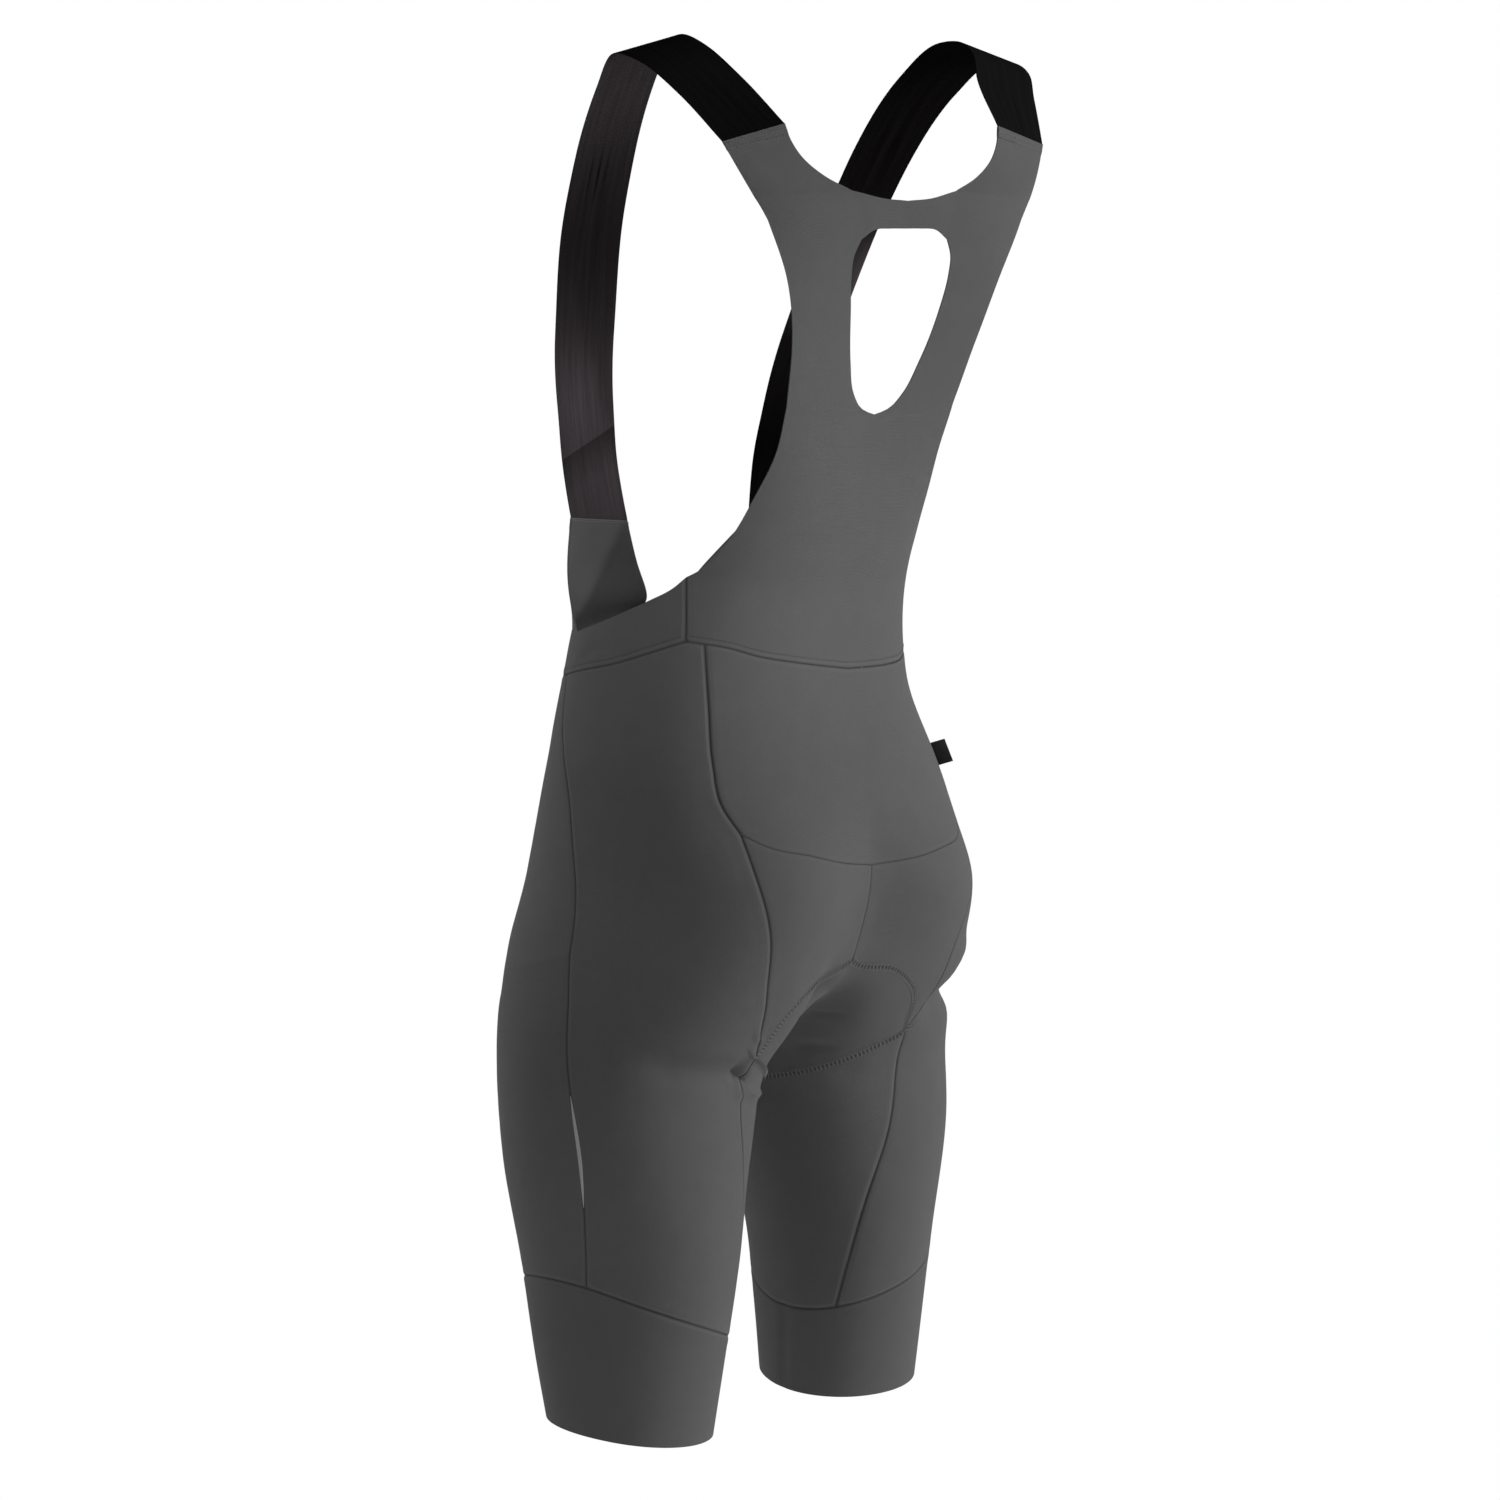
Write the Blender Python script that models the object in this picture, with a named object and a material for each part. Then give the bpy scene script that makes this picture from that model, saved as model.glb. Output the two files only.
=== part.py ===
"""Cycling bib shorts, worn and filled out, as separate cut pieces of stretch cloth.

Frame: metres, +Z up, the front faces -Y, the wearer's left is +X. The origin is midway
between the two shoulder straps, at their crest. The garment is drawn straight and
symmetric first, and then every point goes through posed(), which gives it its stance.
"""

import bpy
import numpy as np

COLLECTION = "cycling_bib_shorts"

# --- driving sizes -------------------------------------------------------------------
CLOTH = 0.0012  # wall of the knitted cloth
SEAM_GAP = 0.0003  # between two pieces that are sewn together
STRAP_GAP = 0.0012  # the same at a strap's ends, where the two pieces meet at an angle
STRAP_WIDTH = 0.049
ORIGIN = (-0.0013, 0.0684, -0.0080)  # middle between the strap crests, from the hips' axis
STRAP_COLUMNS = 4
LABEL_LENGTH, LABEL_REACH, LABEL_WALL = 0.017, 0.011, 0.0012
LABEL_Z = -0.487  # its height on the right lumbar seam
LABEL_GAP = 0.0005  # between the label and the seam it is sewn into
DEGREE = 0.0016  # length of one degree of a seam's angle, on an average ring

# Rings of the trunk: height, centre in depth, half width, depth to the front and to the
# back of that centre, and how square the ring is (2 is an ellipse).
TRUNK_COLUMNS = ("z", "centre_y", "half_width", "front", "back", "squareness")
TRUNK = (
    (0.020, 0.000, 0.150, 0.078, 0.092, 2.8),
    (-0.050, 0.000, 0.152, 0.080, 0.096, 3.0),
    (-0.120, 0.000, 0.152, 0.083, 0.100, 3.2),
    (-0.220, 0.000, 0.148, 0.086, 0.100, 3.0),
    (-0.330, 0.000, 0.120, 0.090, 0.098, 2.2),
    (-0.430, -0.005, 0.125, 0.104, 0.099, 2.3),
    (-0.510, 0.003, 0.150, 0.112, 0.110, 2.4),
    (-0.570, 0.003, 0.152, 0.108, 0.107, 2.4),
    (-0.630, -0.010, 0.145, 0.108, 0.109, 2.4),
    (-0.700, 0.000, 0.140, 0.100, 0.096, 2.4),
)
# Rings of the left leg: height, centre across and in depth, half width, half depth and
# how far the ring's long side is turned, in degrees.
LEG_COLUMNS = ("z", "centre_x", "centre_y", "half_width", "half_depth", "turn")
LEG = (
    (-0.500, 0.062, 0.003, 0.073, 0.094, 0.0),
    (-0.580, 0.073, 0.0075, 0.080, 0.1165, 0.0),
    (-0.640, 0.085, -0.011, 0.080, 0.1135, 0.0),
    (-0.700, 0.098, -0.018, 0.088, 0.092, 8.0),
    (-0.760, 0.108, -0.013, 0.078, 0.086, 12.0),
    (-0.840, 0.110, -0.008, 0.062, 0.076, 16.0),
    (-0.900, 0.110, -0.008, 0.058, 0.066, 20.0),
    (-0.990, 0.108, -0.008, 0.052, 0.050, 20.0),
)
LEG_SQUARENESS = 2.1
LEG_TOP, LEG_TOP_ROUND = -0.53, 0.05
# The underside between the legs is a shallow trough, low at CROTCH_Y.
CROTCH_Y, CROTCH_Z, CROTCH_CURVE, CROTCH_ROUND = 0.015, -0.690, 5.0, 0.036
HIP_ROUND = 0.044  # fillet between trunk and legs
LEG_MEETING_ROUND = 0.012  # how softly the two legs' forms meet in the middle
# The hollow between the two lobes of the gusset, behind: where, how far it spreads, how deep.
CLEFT_CENTRE, CLEFT_SPREAD, CLEFT_DEPTH = (0.0, 0.055, -0.672), (0.022, 0.050, 0.036), 0.018

# The stance, by height: how far the shoulders turn towards the wearer's left, in
# degrees, and how far they lean back. The left hip stands a little higher.
STANCE_COLUMNS = ("z", "turn", "lean")
STANCE = (
    (0.100, 13.0, 0.072),
    (0.000, 13.0, 0.072),
    (-0.110, 13.0, 0.068),
    (-0.180, 12.0, 0.056),
    (-0.250, 9.5, 0.034),
    (-0.300, 6.5, 0.018),
    (-0.360, 2.5, 0.004),
    (-0.430, 0.0, 0.000),
    (-0.500, 0.0, 0.000),
)
HIP_LIFT, HIP_LIFT_Z, HIP_LIFT_SPREAD = 0.09, -0.46, 0.13

# Seams. Each row is a point of the seam: an angle round the axis and a height. Angles
# are in degrees from straight back, towards the outer side. Below the waist they turn
# round the leg's axis, above it round the trunk's. CENTRE_BACK and CENTRE_FRONT stand
# for the angle at which the leg's ring meets the middle of the garment.
CENTRE_BACK, CENTRE_FRONT = "centre back", "centre front"
FULL_TURN = (360.0, 0.0)  # one seam runs along both ends of the front panel's range of angles
WAIST_BACK = ((CENTRE_BACK, -0.427), (-10, -0.424), (8, -0.421), (24, -0.416), (37, -0.414))
WAIST_NOTCH = ((37, -0.414), (48, -0.413))
WAIST_SIDE = ((48, -0.413), (70, -0.422), (98, -0.432), (122, -0.438), (142, -0.443))
WAIST_FRONT = ((142, -0.443), (175, -0.447), (CENTRE_FRONT, -0.448))
LUMBAR_SIDE = ((37, -0.414), (37, -0.455), (37, -0.492), (34, -0.519), (27, -0.537))
LUMBAR_FOOT = ((CENTRE_BACK, -0.560), (-15, -0.556), (1, -0.550), (16, -0.545), (27, -0.537))
SEAT_SIDE = ((27, -0.537), (21, -0.568), (11, -0.608), (3, -0.647), (-2, -0.668), (-9, -0.688))
SEAT_FOOT = ((CENTRE_BACK, -0.628), (-36, -0.631), (-22, -0.637), (-12, -0.655), (-9, -0.688))
LUMBAR_CENTRE = ((CENTRE_BACK, -0.427), (CENTRE_BACK, -0.560))
CENTRE_BACK_SEAM = ((CENTRE_BACK, -0.560), (CENTRE_BACK, -0.594), (CENTRE_BACK, -0.628))
LEG_BACK = ((-9, -0.688), (-12, -0.712), (-21, -0.758), (-34, -0.808), (-44, -0.855), (-51, -0.8896))
LEG_SIDE_UPPER = ((142, -0.443), (127, -0.476), (109, -0.517), (102, -0.560), (94, -0.619))
LEG_SIDE_LOWER = ((94, -0.619), (82, -0.667), (73, -0.709), (69, -0.763), (75, -0.8415))
CENTRE_FRONT_SEAM = ((CENTRE_FRONT, -0.448), (CENTRE_FRONT, -0.55), (CENTRE_FRONT, -0.640))
FRONT_FOLD = ((94, -0.619), (150, -0.640), (CENTRE_FRONT, -0.640))
GUSSET_FOOT = (
    (351, -0.688),
    (338, -0.697),
    (322, -0.7070),
    (306, -0.7145),
    (288, -0.7200),
    (270, -0.7185),
    (253, -0.7055),
    (240, -0.682),
    (CENTRE_FRONT, -0.640),
)
BAND_LOW_ANGLE, BAND_Z, BAND_TILT = -80.0, -0.866, 0.027
HEM_LOW_ANGLE, HEM_Z, HEM_TILT = -40.0, -0.950, 0.007
BAND_BACK, BAND_OUTER = -51.0, 75.0  # where the leg's two seams meet the band

# Edges of the bib, as angle and height round the trunk's axis.
BIB_SIDE_TOP = (67.0, -0.367)
ARMHOLE_BACK = (
    BIB_SIDE_TOP,
    (61, -0.360),
    (49.5, -0.337),
    (43.5, -0.313),
    (39, -0.279),
    (37.5, -0.247),
    (39, -0.207),
    (43, -0.163),
    (49.5, -0.124),
    (56.5, -0.093),
    (61, -0.072),
)
ARMHOLE_AT_KEYHOLE, ARMHOLE_AT_BRIDGE = 5, 8  # its rows level with the keyhole's foot and top
BACK_MIDDLE = (0, -0.340)  # between the waist and the keyhole
KEYHOLE = (
    (0, -0.253),
    (7, -0.249),
    (12, -0.239),
    (16.5, -0.217),
    (20.5, -0.182),
    (22, -0.160),
    (21.8, -0.147),
    (19.5, -0.1365),
    (14.5, -0.1305),
    (7, -0.1295),
    (0, -0.1295),
)
NECK_BACK = ((0, -0.111), (11, -0.109), (22, -0.103), (31, -0.093), (37, -0.081), (40, -0.068), (41, -0.056))
ARMHOLE_FRONT = (BIB_SIDE_TOP, (72, -0.376), (80, -0.385), (92, -0.396), (106, -0.406), (118, -0.412))
TAB_FOLD = ((118, -0.412), (150, -0.408), (180, -0.398))
# Ends of the left strap as points: arm side and neck side.
STRAP_BACK = ((0.132, 0.072, -0.073), (0.088, 0.079, -0.061))
STRAP_FRONT = ((0.106, -0.073, -0.330), (0.058, -0.068, -0.332))
# Points that the front tab's two edges pass on their way up to the strap.
TAB_ARM_EDGE = ((0.106, -0.070, -0.378),)
TAB_NECK_EDGE = ((0.013, -0.090, -0.386), (0.031, -0.081, -0.362))
# Middle line of the left strap between its ends, and the fall of its arm side.
STRAP_LINE_COLUMNS = ("x", "y", "z", "fall")
STRAP_LINE = (
    (0.089, -0.0945, -0.272, -0.003),
    (0.098, -0.1155, -0.203, 0.000),
    (0.108, -0.1135, -0.138, 0.006),
    (0.117, -0.088, -0.075, 0.009),
    (0.126, -0.050, -0.030, 0.011),
    (0.134, -0.020, -0.009, 0.012),
    (0.138, 0.002, -0.009, 0.014),
    (0.134, 0.022, -0.017, 0.013),
    (0.123, 0.042, -0.035, 0.012),
)

# Number of cells along each seam, shared by the pieces that meet there.
CELLS = dict(
    waist_back=8, waist_notch=1, waist_side=12, waist_front=8, lumbar=7, seat=9,
    leg=10, gusset_across=5, band=5, bib_side=4, armhole=7, keyhole=13, bridge=2, neck=7,
    strap=32, tab=6,
)

# Finishes: base colour and roughness. Nothing on the garment is metal.
CLOTH_FINISH = ((0.085, 0.086, 0.087), 0.75)
STRAP_FINISH = ((0.012, 0.011, 0.012), 0.60)
LABEL_FINISH = ((0.020, 0.020, 0.020), 0.60)


# --- the form: rings joined by fillets ------------------------------------------------
def row_values(table, z):
    """Every column of a table but its first, at the heights z, through a smooth curve."""
    rows = np.array(sorted(table))
    knots, values = rows[:, 0], rows[:, 1:]
    z = np.clip(z, knots[0], knots[-1])
    slopes = np.gradient(values, knots, axis=0)
    i = np.clip(np.searchsorted(knots, z) - 1, 0, len(knots) - 2)
    step = (knots[i + 1] - knots[i])[..., None]
    u = (z - knots[i])[..., None] / step
    return (
        (2 * u**3 - 3 * u**2 + 1) * values[i]
        + (u**3 - 2 * u**2 + u) * step * slopes[i]
        + (3 * u**2 - 2 * u**3) * values[i + 1]
        + (u**3 - u**2) * step * slopes[i + 1]
    )


def ring(table, names, z):
    """The named columns of a table at the heights z."""
    return dict(zip(names[1:], np.moveaxis(row_values(table, z), -1, 0)))


def smooth_max(a, b, width):
    """The larger of two fields, rounded over a width."""
    h = np.clip(0.5 + 0.5 * (a - b) / width, 0, 1)
    return b * (1 - h) + a * h + width * h * (1 - h)


def ring_distance(x, y, half_width, depth, squareness):
    """How far a point lies outside a ring, measured from its centre."""
    far = np.hypot(x, y) + 1e-6
    reach = (np.abs(x / far / half_width) ** squareness + np.abs(y / far / depth) ** squareness) ** (
        -1 / squareness
    )
    return far - reach


def trunk_field(p):
    """Below zero inside the trunk, above zero outside."""
    c = ring(TRUNK, TRUNK_COLUMNS, p[..., 2])
    y = p[..., 1] - c["centre_y"]
    depth = np.where(y > 0, c["back"], c["front"])
    wall = ring_distance(p[..., 0], y, c["half_width"], depth, c["squareness"])
    floor = CROTCH_Z + CROTCH_CURVE * (p[..., 1] - CROTCH_Y) ** 2 - p[..., 2]
    return smooth_max(wall, floor, CROTCH_ROUND)


def leg_field(p):
    """Below zero inside either leg, above zero outside."""
    c = ring(LEG, LEG_COLUMNS, p[..., 2])
    x, y = np.hypot(p[..., 0], LEG_MEETING_ROUND) - c["centre_x"], p[..., 1] - c["centre_y"]
    turn = np.radians(c["turn"])
    across, deep = x * np.cos(turn) + y * np.sin(turn), y * np.cos(turn) - x * np.sin(turn)
    wall = ring_distance(across, deep, c["half_width"], c["half_depth"], LEG_SQUARENESS)
    return smooth_max(wall, p[..., 2] - LEG_TOP, LEG_TOP_ROUND)


def form(p):
    """Below zero inside the garment's form, above zero outside."""
    cleft = CLEFT_DEPTH * np.exp(-(((p - CLEFT_CENTRE) / CLEFT_SPREAD) ** 2).sum(-1))
    return cleft - smooth_max(-trunk_field(p), -leg_field(p), HIP_ROUND)


def slope(p, reach=1e-4):
    """The form's gradient."""
    axes = reach * np.eye(3)
    return np.stack([form(p + a) - form(p - a) for a in axes], -1) / (2 * reach)


def cast(start, direction, reach=0.25, steps=80):
    """Where rays from inside the form leave it."""
    start, direction = np.broadcast_arrays(start, direction)
    near, far = np.zeros(start.shape[:-1]), np.full(start.shape[:-1], reach)
    found = np.zeros(near.shape, bool)
    for t in np.linspace(0, reach, steps)[1:]:
        outside = form(start + direction * t) > 0
        far = np.where(outside & ~found, t, far)
        found |= outside
        near = np.where(found, near, t)
    for _ in range(30):
        middle = (near + far) / 2
        outside = form(start + direction * middle[..., None]) > 0
        near, far = np.where(outside, near, middle), np.where(outside, middle, far)
    return start + direction * middle[..., None]


def settle(p, rounds=12):
    """Moves points onto the form along its gradient."""
    for _ in range(rounds):
        g = slope(p)
        p = p - form(p)[..., None] * g / np.maximum((g * g).sum(-1, keepdims=True), 0.2)
    return p


def posed(p):
    """The garment's stance: shoulders turned and leaning back, the left hip raised."""
    x, y, z = p[..., 0], p[..., 1], p[..., 2]
    stance = ring(STANCE, STANCE_COLUMNS, z)
    turn = np.radians(stance["turn"])
    lift = HIP_LIFT * x * np.exp(-(((z - HIP_LIFT_Z) / HIP_LIFT_SPREAD) ** 2))
    across = x * np.cos(turn) + y * np.sin(turn)
    deep = y * np.cos(turn) - x * np.sin(turn) + stance["lean"]
    return np.stack([across, deep, z + lift], -1) - ORIGIN


# --- curves and patches ---------------------------------------------------------------
def centre_depth(z, front):
    """How far the form's wall lies from the axis in the middle of the garment."""
    start = np.stack([0 * z, 0 * z, z], -1)
    return cast(start, np.array([0.0, -1.0 if front else 1.0, 0.0]))[..., 1]


def leg_angle(angle, z):
    """A named angle of the leg's ring in degrees, or the angle itself."""
    if angle not in (CENTRE_BACK, CENTRE_FRONT):
        return float(angle)
    c = ring(LEG, LEG_COLUMNS, np.array(z))
    y = centre_depth(np.array(z), angle == CENTRE_FRONT)
    found = np.degrees(np.arctan2(-c["centre_x"], y - c["centre_y"]))
    return found + 360 if angle == CENTRE_FRONT else found


def curve(points, cells):
    """Evenly spaced points on a smooth curve through the given ones."""
    points = np.array(points, float)
    scale = np.array([DEGREE, 1.0]) if points.shape[1] == 2 else np.ones(3)
    steps = np.linalg.norm(np.diff(points * scale, axis=0), axis=1)
    knots = np.concatenate([[0], np.cumsum(steps)])
    fine = np.linspace(0, knots[-1], 20 * len(points))
    dense = row_values(np.column_stack([knots, points]).tolist(), fine)
    along = np.concatenate([[0], np.cumsum(np.linalg.norm(np.diff(dense * scale, axis=0), axis=1))])
    at = np.linspace(0, along[-1], cells + 1)
    return np.stack([np.interp(at, along, column) for column in dense.T], -1)


def leg_curve(rows, cells):
    return curve([(leg_angle(angle, z), z) for angle, z in rows], cells)


def centre_curve(rows, cells):
    """A seam in the middle of the garment, its angle worked out at every point."""
    points = curve([(0.0, z) for _, z in rows], cells)
    return np.array([(leg_angle(rows[0][0], z), z) for z in points[:, 1]])


def patch(foot, head, first, last):
    """A grid between four edges, blended from all of them. foot and head run from first to last."""
    rows, columns = len(first), len(foot)
    u = np.linspace(0, 1, columns)[None, :, None]
    v = np.linspace(0, 1, rows)[:, None, None]
    across = (1 - u) * first[:, None] + u * last[:, None]
    along = (1 - v) * foot[None] + v * head[None]
    corners = (
        (1 - u) * (1 - v) * foot[0] + u * (1 - v) * foot[-1] + (1 - u) * v * head[0] + u * v * head[-1]
    )
    return across + along - corners


def on_leg(grid):
    """Points of the form for angles and heights round the left leg's axis."""
    angle, z = np.radians(grid[..., 0]), grid[..., 1]
    c = ring(LEG, LEG_COLUMNS, z)
    start = np.stack([c["centre_x"], c["centre_y"], z], -1)
    return cast(start, np.stack([np.sin(angle), np.cos(angle), 0 * z], -1))


def on_trunk(grid):
    """Points of the form for angles and heights round the trunk's axis."""
    angle, z = np.radians(grid[..., 0]), grid[..., 1]
    start = np.stack([0 * z, 0 * z, z], -1)
    return cast(start, np.stack([np.sin(angle), np.cos(angle), 0 * z], -1))


def trunk_place(p):
    """The angle and height of points, round the trunk's axis."""
    return np.stack([np.degrees(np.arctan2(p[..., 0], p[..., 1])), p[..., 2]], -1)


def mirrored(grid):
    """The same grid on the other side, turned so that it faces outwards."""
    return (grid * [-1, 1, 1])[:, ::-1]


# --- meshes ---------------------------------------------------------------------------
def material(name, colour, roughness):
    """A piece's own plain material."""
    finish = bpy.data.materials.new(name)
    finish.use_nodes = True
    shader = finish.node_tree.nodes["Principled BSDF"]
    shader.inputs["Base Color"].default_value = (*colour, 1.0)
    shader.inputs["Roughness"].default_value = roughness
    shader.inputs["Metallic"].default_value = 0.0
    return finish


def welded(grids):
    """One sheet of triangles from several grids that share edges: points and faces.

    Each cell is split along its shorter diagonal, so both faces of the cloth are split alike.
    """
    points, faces, known = [], [], {}
    for grid in grids:
        index = np.empty(grid.shape[:2], int)
        for place in np.ndindex(*grid.shape[:2]):
            key = tuple(np.round(grid[place] * 1e5).astype(int))
            if key not in known:
                known[key] = len(points)
                points.append(grid[place])
            index[place] = known[key]
        for i in range(grid.shape[0] - 1):
            for j in range(grid.shape[1] - 1):
                a, b, c, d = index[i, j], index[i, j + 1], index[i + 1, j + 1], index[i + 1, j]
                rising = np.linalg.norm(points[a] - points[c])
                falling = np.linalg.norm(points[b] - points[d])
                halves = ((a, b, c), (a, c, d)) if rising <= falling else ((a, b, d), (b, c, d))
                faces += [list(half) for half in halves if len(set(half)) == 3]
    return np.array(points), faces


def open_edges(faces):
    """The sheet's rim, as directed edges that have a face on one side only."""
    edges = {(a, b) for face in faces for a, b in zip(face, face[1:] + face[:1])}
    return [(a, b) for a, b in edges if (b, a) not in edges]


def drawn_in(points, faces, distance):
    """The sheet with its rim moved inwards along the cloth."""
    push = np.zeros_like(points)
    for a, b in open_edges(faces):
        face = next(f for f in faces if a in f and b in f)
        middle = points[face].mean(axis=0)
        side = points[b] - points[a]
        side /= np.linalg.norm(side)
        inward = middle - points[a]
        inward -= side * (inward @ side)
        inward /= np.linalg.norm(inward)
        for v in (a, b):
            push[v] += inward
    size = np.linalg.norm(push, axis=1, keepdims=True)
    halved = np.maximum((size / 2) ** 2, 0.3)  # at a corner both rims move the full distance
    return points + np.where(size > 0, push / 2 / halved * distance, 0)


def cloth_piece(name, grids, finish, normals, wall=CLOTH, gap=SEAM_GAP):
    """A closed wall of cloth from grids on its outer face. normals gives the outward way."""
    points, faces = welded(grids)
    points = drawn_in(points, faces, gap / 2)
    inner = points - normals(points) * wall
    count = len(points)
    walls = [list(face) for face in faces]
    walls += [[v + count for v in reversed(face)] for face in faces]
    walls += [[b, a, a + count, b + count] for a, b in open_edges(faces)]
    mesh = bpy.data.meshes.new(name)
    mesh.from_pydata(posed(np.concatenate([points, inner])).tolist(), [], walls)
    if signed_volume(mesh) < 0:
        mesh.flip_normals()
    mesh.shade_smooth()
    mesh.set_sharp_from_angle(angle=np.radians(50))
    mesh.materials.append(material(f"{name}_finish", *finish))
    piece = bpy.data.objects.new(name, mesh)
    bpy.data.collections[COLLECTION].objects.link(piece)
    return piece


def signed_volume(mesh):
    total = 0.0
    mesh.calc_loop_triangles()
    for triangle in mesh.loop_triangles:
        a, b, c = (mesh.vertices[v].co for v in triangle.vertices)
        total += a.dot(b.cross(c))
    return total


def form_normals(points):
    g = slope(points)
    return g / np.linalg.norm(g, axis=-1, keepdims=True)


def sheet_normals(grids):
    """Normals of a free sheet, averaged at its points, as a function of the points."""
    points, faces = welded(grids)
    normals = np.zeros_like(points)
    for face in faces:
        a, b, c = points[face]
        normals[face] += np.cross(c - a, b - a)
    normals /= np.linalg.norm(normals, axis=1, keepdims=True)
    return lambda _: normals


# --- the pieces -----------------------------------------------------------------------
class Seams:
    """Every seam of the left half, each sampled once and shared by its pieces."""

    def __init__(self):
        n = CELLS
        self.waist_back = leg_curve(WAIST_BACK, n["waist_back"])
        self.waist_notch = leg_curve(WAIST_NOTCH, n["waist_notch"])
        self.waist_side = leg_curve(WAIST_SIDE, n["waist_side"])
        self.waist_front = leg_curve(WAIST_FRONT, n["waist_front"])
        self.lumbar_side = leg_curve(LUMBAR_SIDE, n["lumbar"])
        self.lumbar_foot = leg_curve(LUMBAR_FOOT, n["waist_back"])
        self.seat_side = leg_curve(SEAT_SIDE, n["seat"])
        self.seat_foot = leg_curve(SEAT_FOOT, n["waist_back"])
        self.leg_back = leg_curve(LEG_BACK, n["leg"])
        self.leg_back[-1] = BAND_BACK, band_height(BAND_BACK)
        self.side_upper = leg_curve(LEG_SIDE_UPPER, n["lumbar"] + n["seat"])
        self.side_lower = leg_curve(LEG_SIDE_LOWER, n["leg"])
        self.side_lower[-1] = BAND_OUTER, band_height(BAND_OUTER)
        self.gusset_foot = leg_curve(GUSSET_FOOT, n["seat"])
        self.front_fold = leg_curve(FRONT_FOLD, n["waist_front"])
        self.centre_back = centre_curve(CENTRE_BACK_SEAM, n["seat"])
        self.centre_front = centre_curve(CENTRE_FRONT_SEAM, n["lumbar"] + n["seat"])
        self.lumbar_centre = centre_curve(LUMBAR_CENTRE, n["lumbar"])
        self.band_back = ring_curve(BAND_BACK, BAND_OUTER, n["waist_side"] + n["waist_notch"])
        self.band_front = ring_curve(BAND_OUTER, BAND_BACK + 360, n["waist_front"] + n["seat"])


def tilted_height(angle, low_angle, height, tilt):
    return height - tilt * np.cos(np.radians(angle - low_angle))


def band_height(angle):
    return tilted_height(angle, BAND_LOW_ANGLE, BAND_Z, BAND_TILT)


def ring_curve(first, last, cells):
    """The band's seam round the leg between two angles."""
    angles = np.linspace(first, last, cells + 1)
    return np.stack([angles, band_height(angles)], -1)


def joined(*curves):
    """Curves that follow each other, without their doubled points."""
    return np.concatenate([curves[0]] + [c[1:] for c in curves[1:]])


def shorts_grids(s):
    """The grids of the left half of the shorts, by piece."""
    lumbar = patch(s.lumbar_foot, s.waist_back, s.lumbar_centre[::-1], s.lumbar_side[::-1])
    seat = patch(s.seat_foot, s.lumbar_foot, s.centre_back[::-1], s.seat_side[::-1])
    side = patch(
        s.band_back,
        joined(s.waist_notch, s.waist_side),
        joined(s.lumbar_side, s.seat_side, s.leg_back)[::-1],
        joined(s.side_upper, s.side_lower)[::-1],
    )
    front_upper = patch(s.front_fold, s.waist_front, s.side_upper[::-1], s.centre_front[::-1])
    front_lower = patch(
        s.band_front,
        joined(s.front_fold, s.gusset_foot[::-1]),
        s.side_lower[::-1],
        (s.leg_back + FULL_TURN)[::-1],
    )
    return dict(
        lumbar=[on_leg(lumbar)],
        seat=[on_leg(seat)],
        side=[on_leg(side)],
        front=[on_leg(front_upper), on_leg(front_lower)],
    )


def gusset_grid(s):
    """The left half of the saddle between the legs, from its border to the middle."""
    border = on_leg(joined(s.seat_foot, s.gusset_foot))
    rows = len(border)
    y = np.linspace(border[0, 1], border[-1, 1], 160)
    start = np.stack([0 * y, y, np.full_like(y, -0.50)], -1)
    middle = cast(start, np.array([0.0, 0.0, -1.0]), reach=0.3)
    ends = np.stack([border[0], border[-1]]) * [0, 1, 1]
    middle = np.concatenate([ends[:1], middle[1:-1], ends[1:]])
    along = np.concatenate([[0], np.cumsum(np.linalg.norm(np.diff(middle, axis=0), axis=1))])
    at = np.linspace(0, along[-1], rows)
    middle = np.stack([np.interp(at, along, c) for c in middle.T], -1)
    u = np.linspace(0, 1, CELLS["gusset_across"] + 1)[None, :, None]
    grid = (1 - u) * border[:, None] + u * middle[:, None]
    inside = settle(grid[1:-1, 1:])
    inside[:, -1, 0] = 0
    grid[1:-1, 1:] = inside
    return grid


def band_grid(s):
    """The grip band round the left leg, from its seam to the hem."""
    seam = joined(s.band_back, s.band_front)
    hem = seam.copy()
    hem[:, 1] = tilted_height(seam[:, 0], HEM_LOW_ANGLE, HEM_Z, HEM_TILT)
    v = np.linspace(0, 1, CELLS["band"] + 1)[:, None, None]
    grid = on_leg((1 - v) * hem[None] + v * seam[None])
    grid[:, -1] = grid[:, 0]
    return grid


def straight(a, b, cells):
    t = np.linspace(0, 1, cells + 1)[:, None]
    return (1 - t) * np.array(a) + t * np.array(b)


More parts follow.
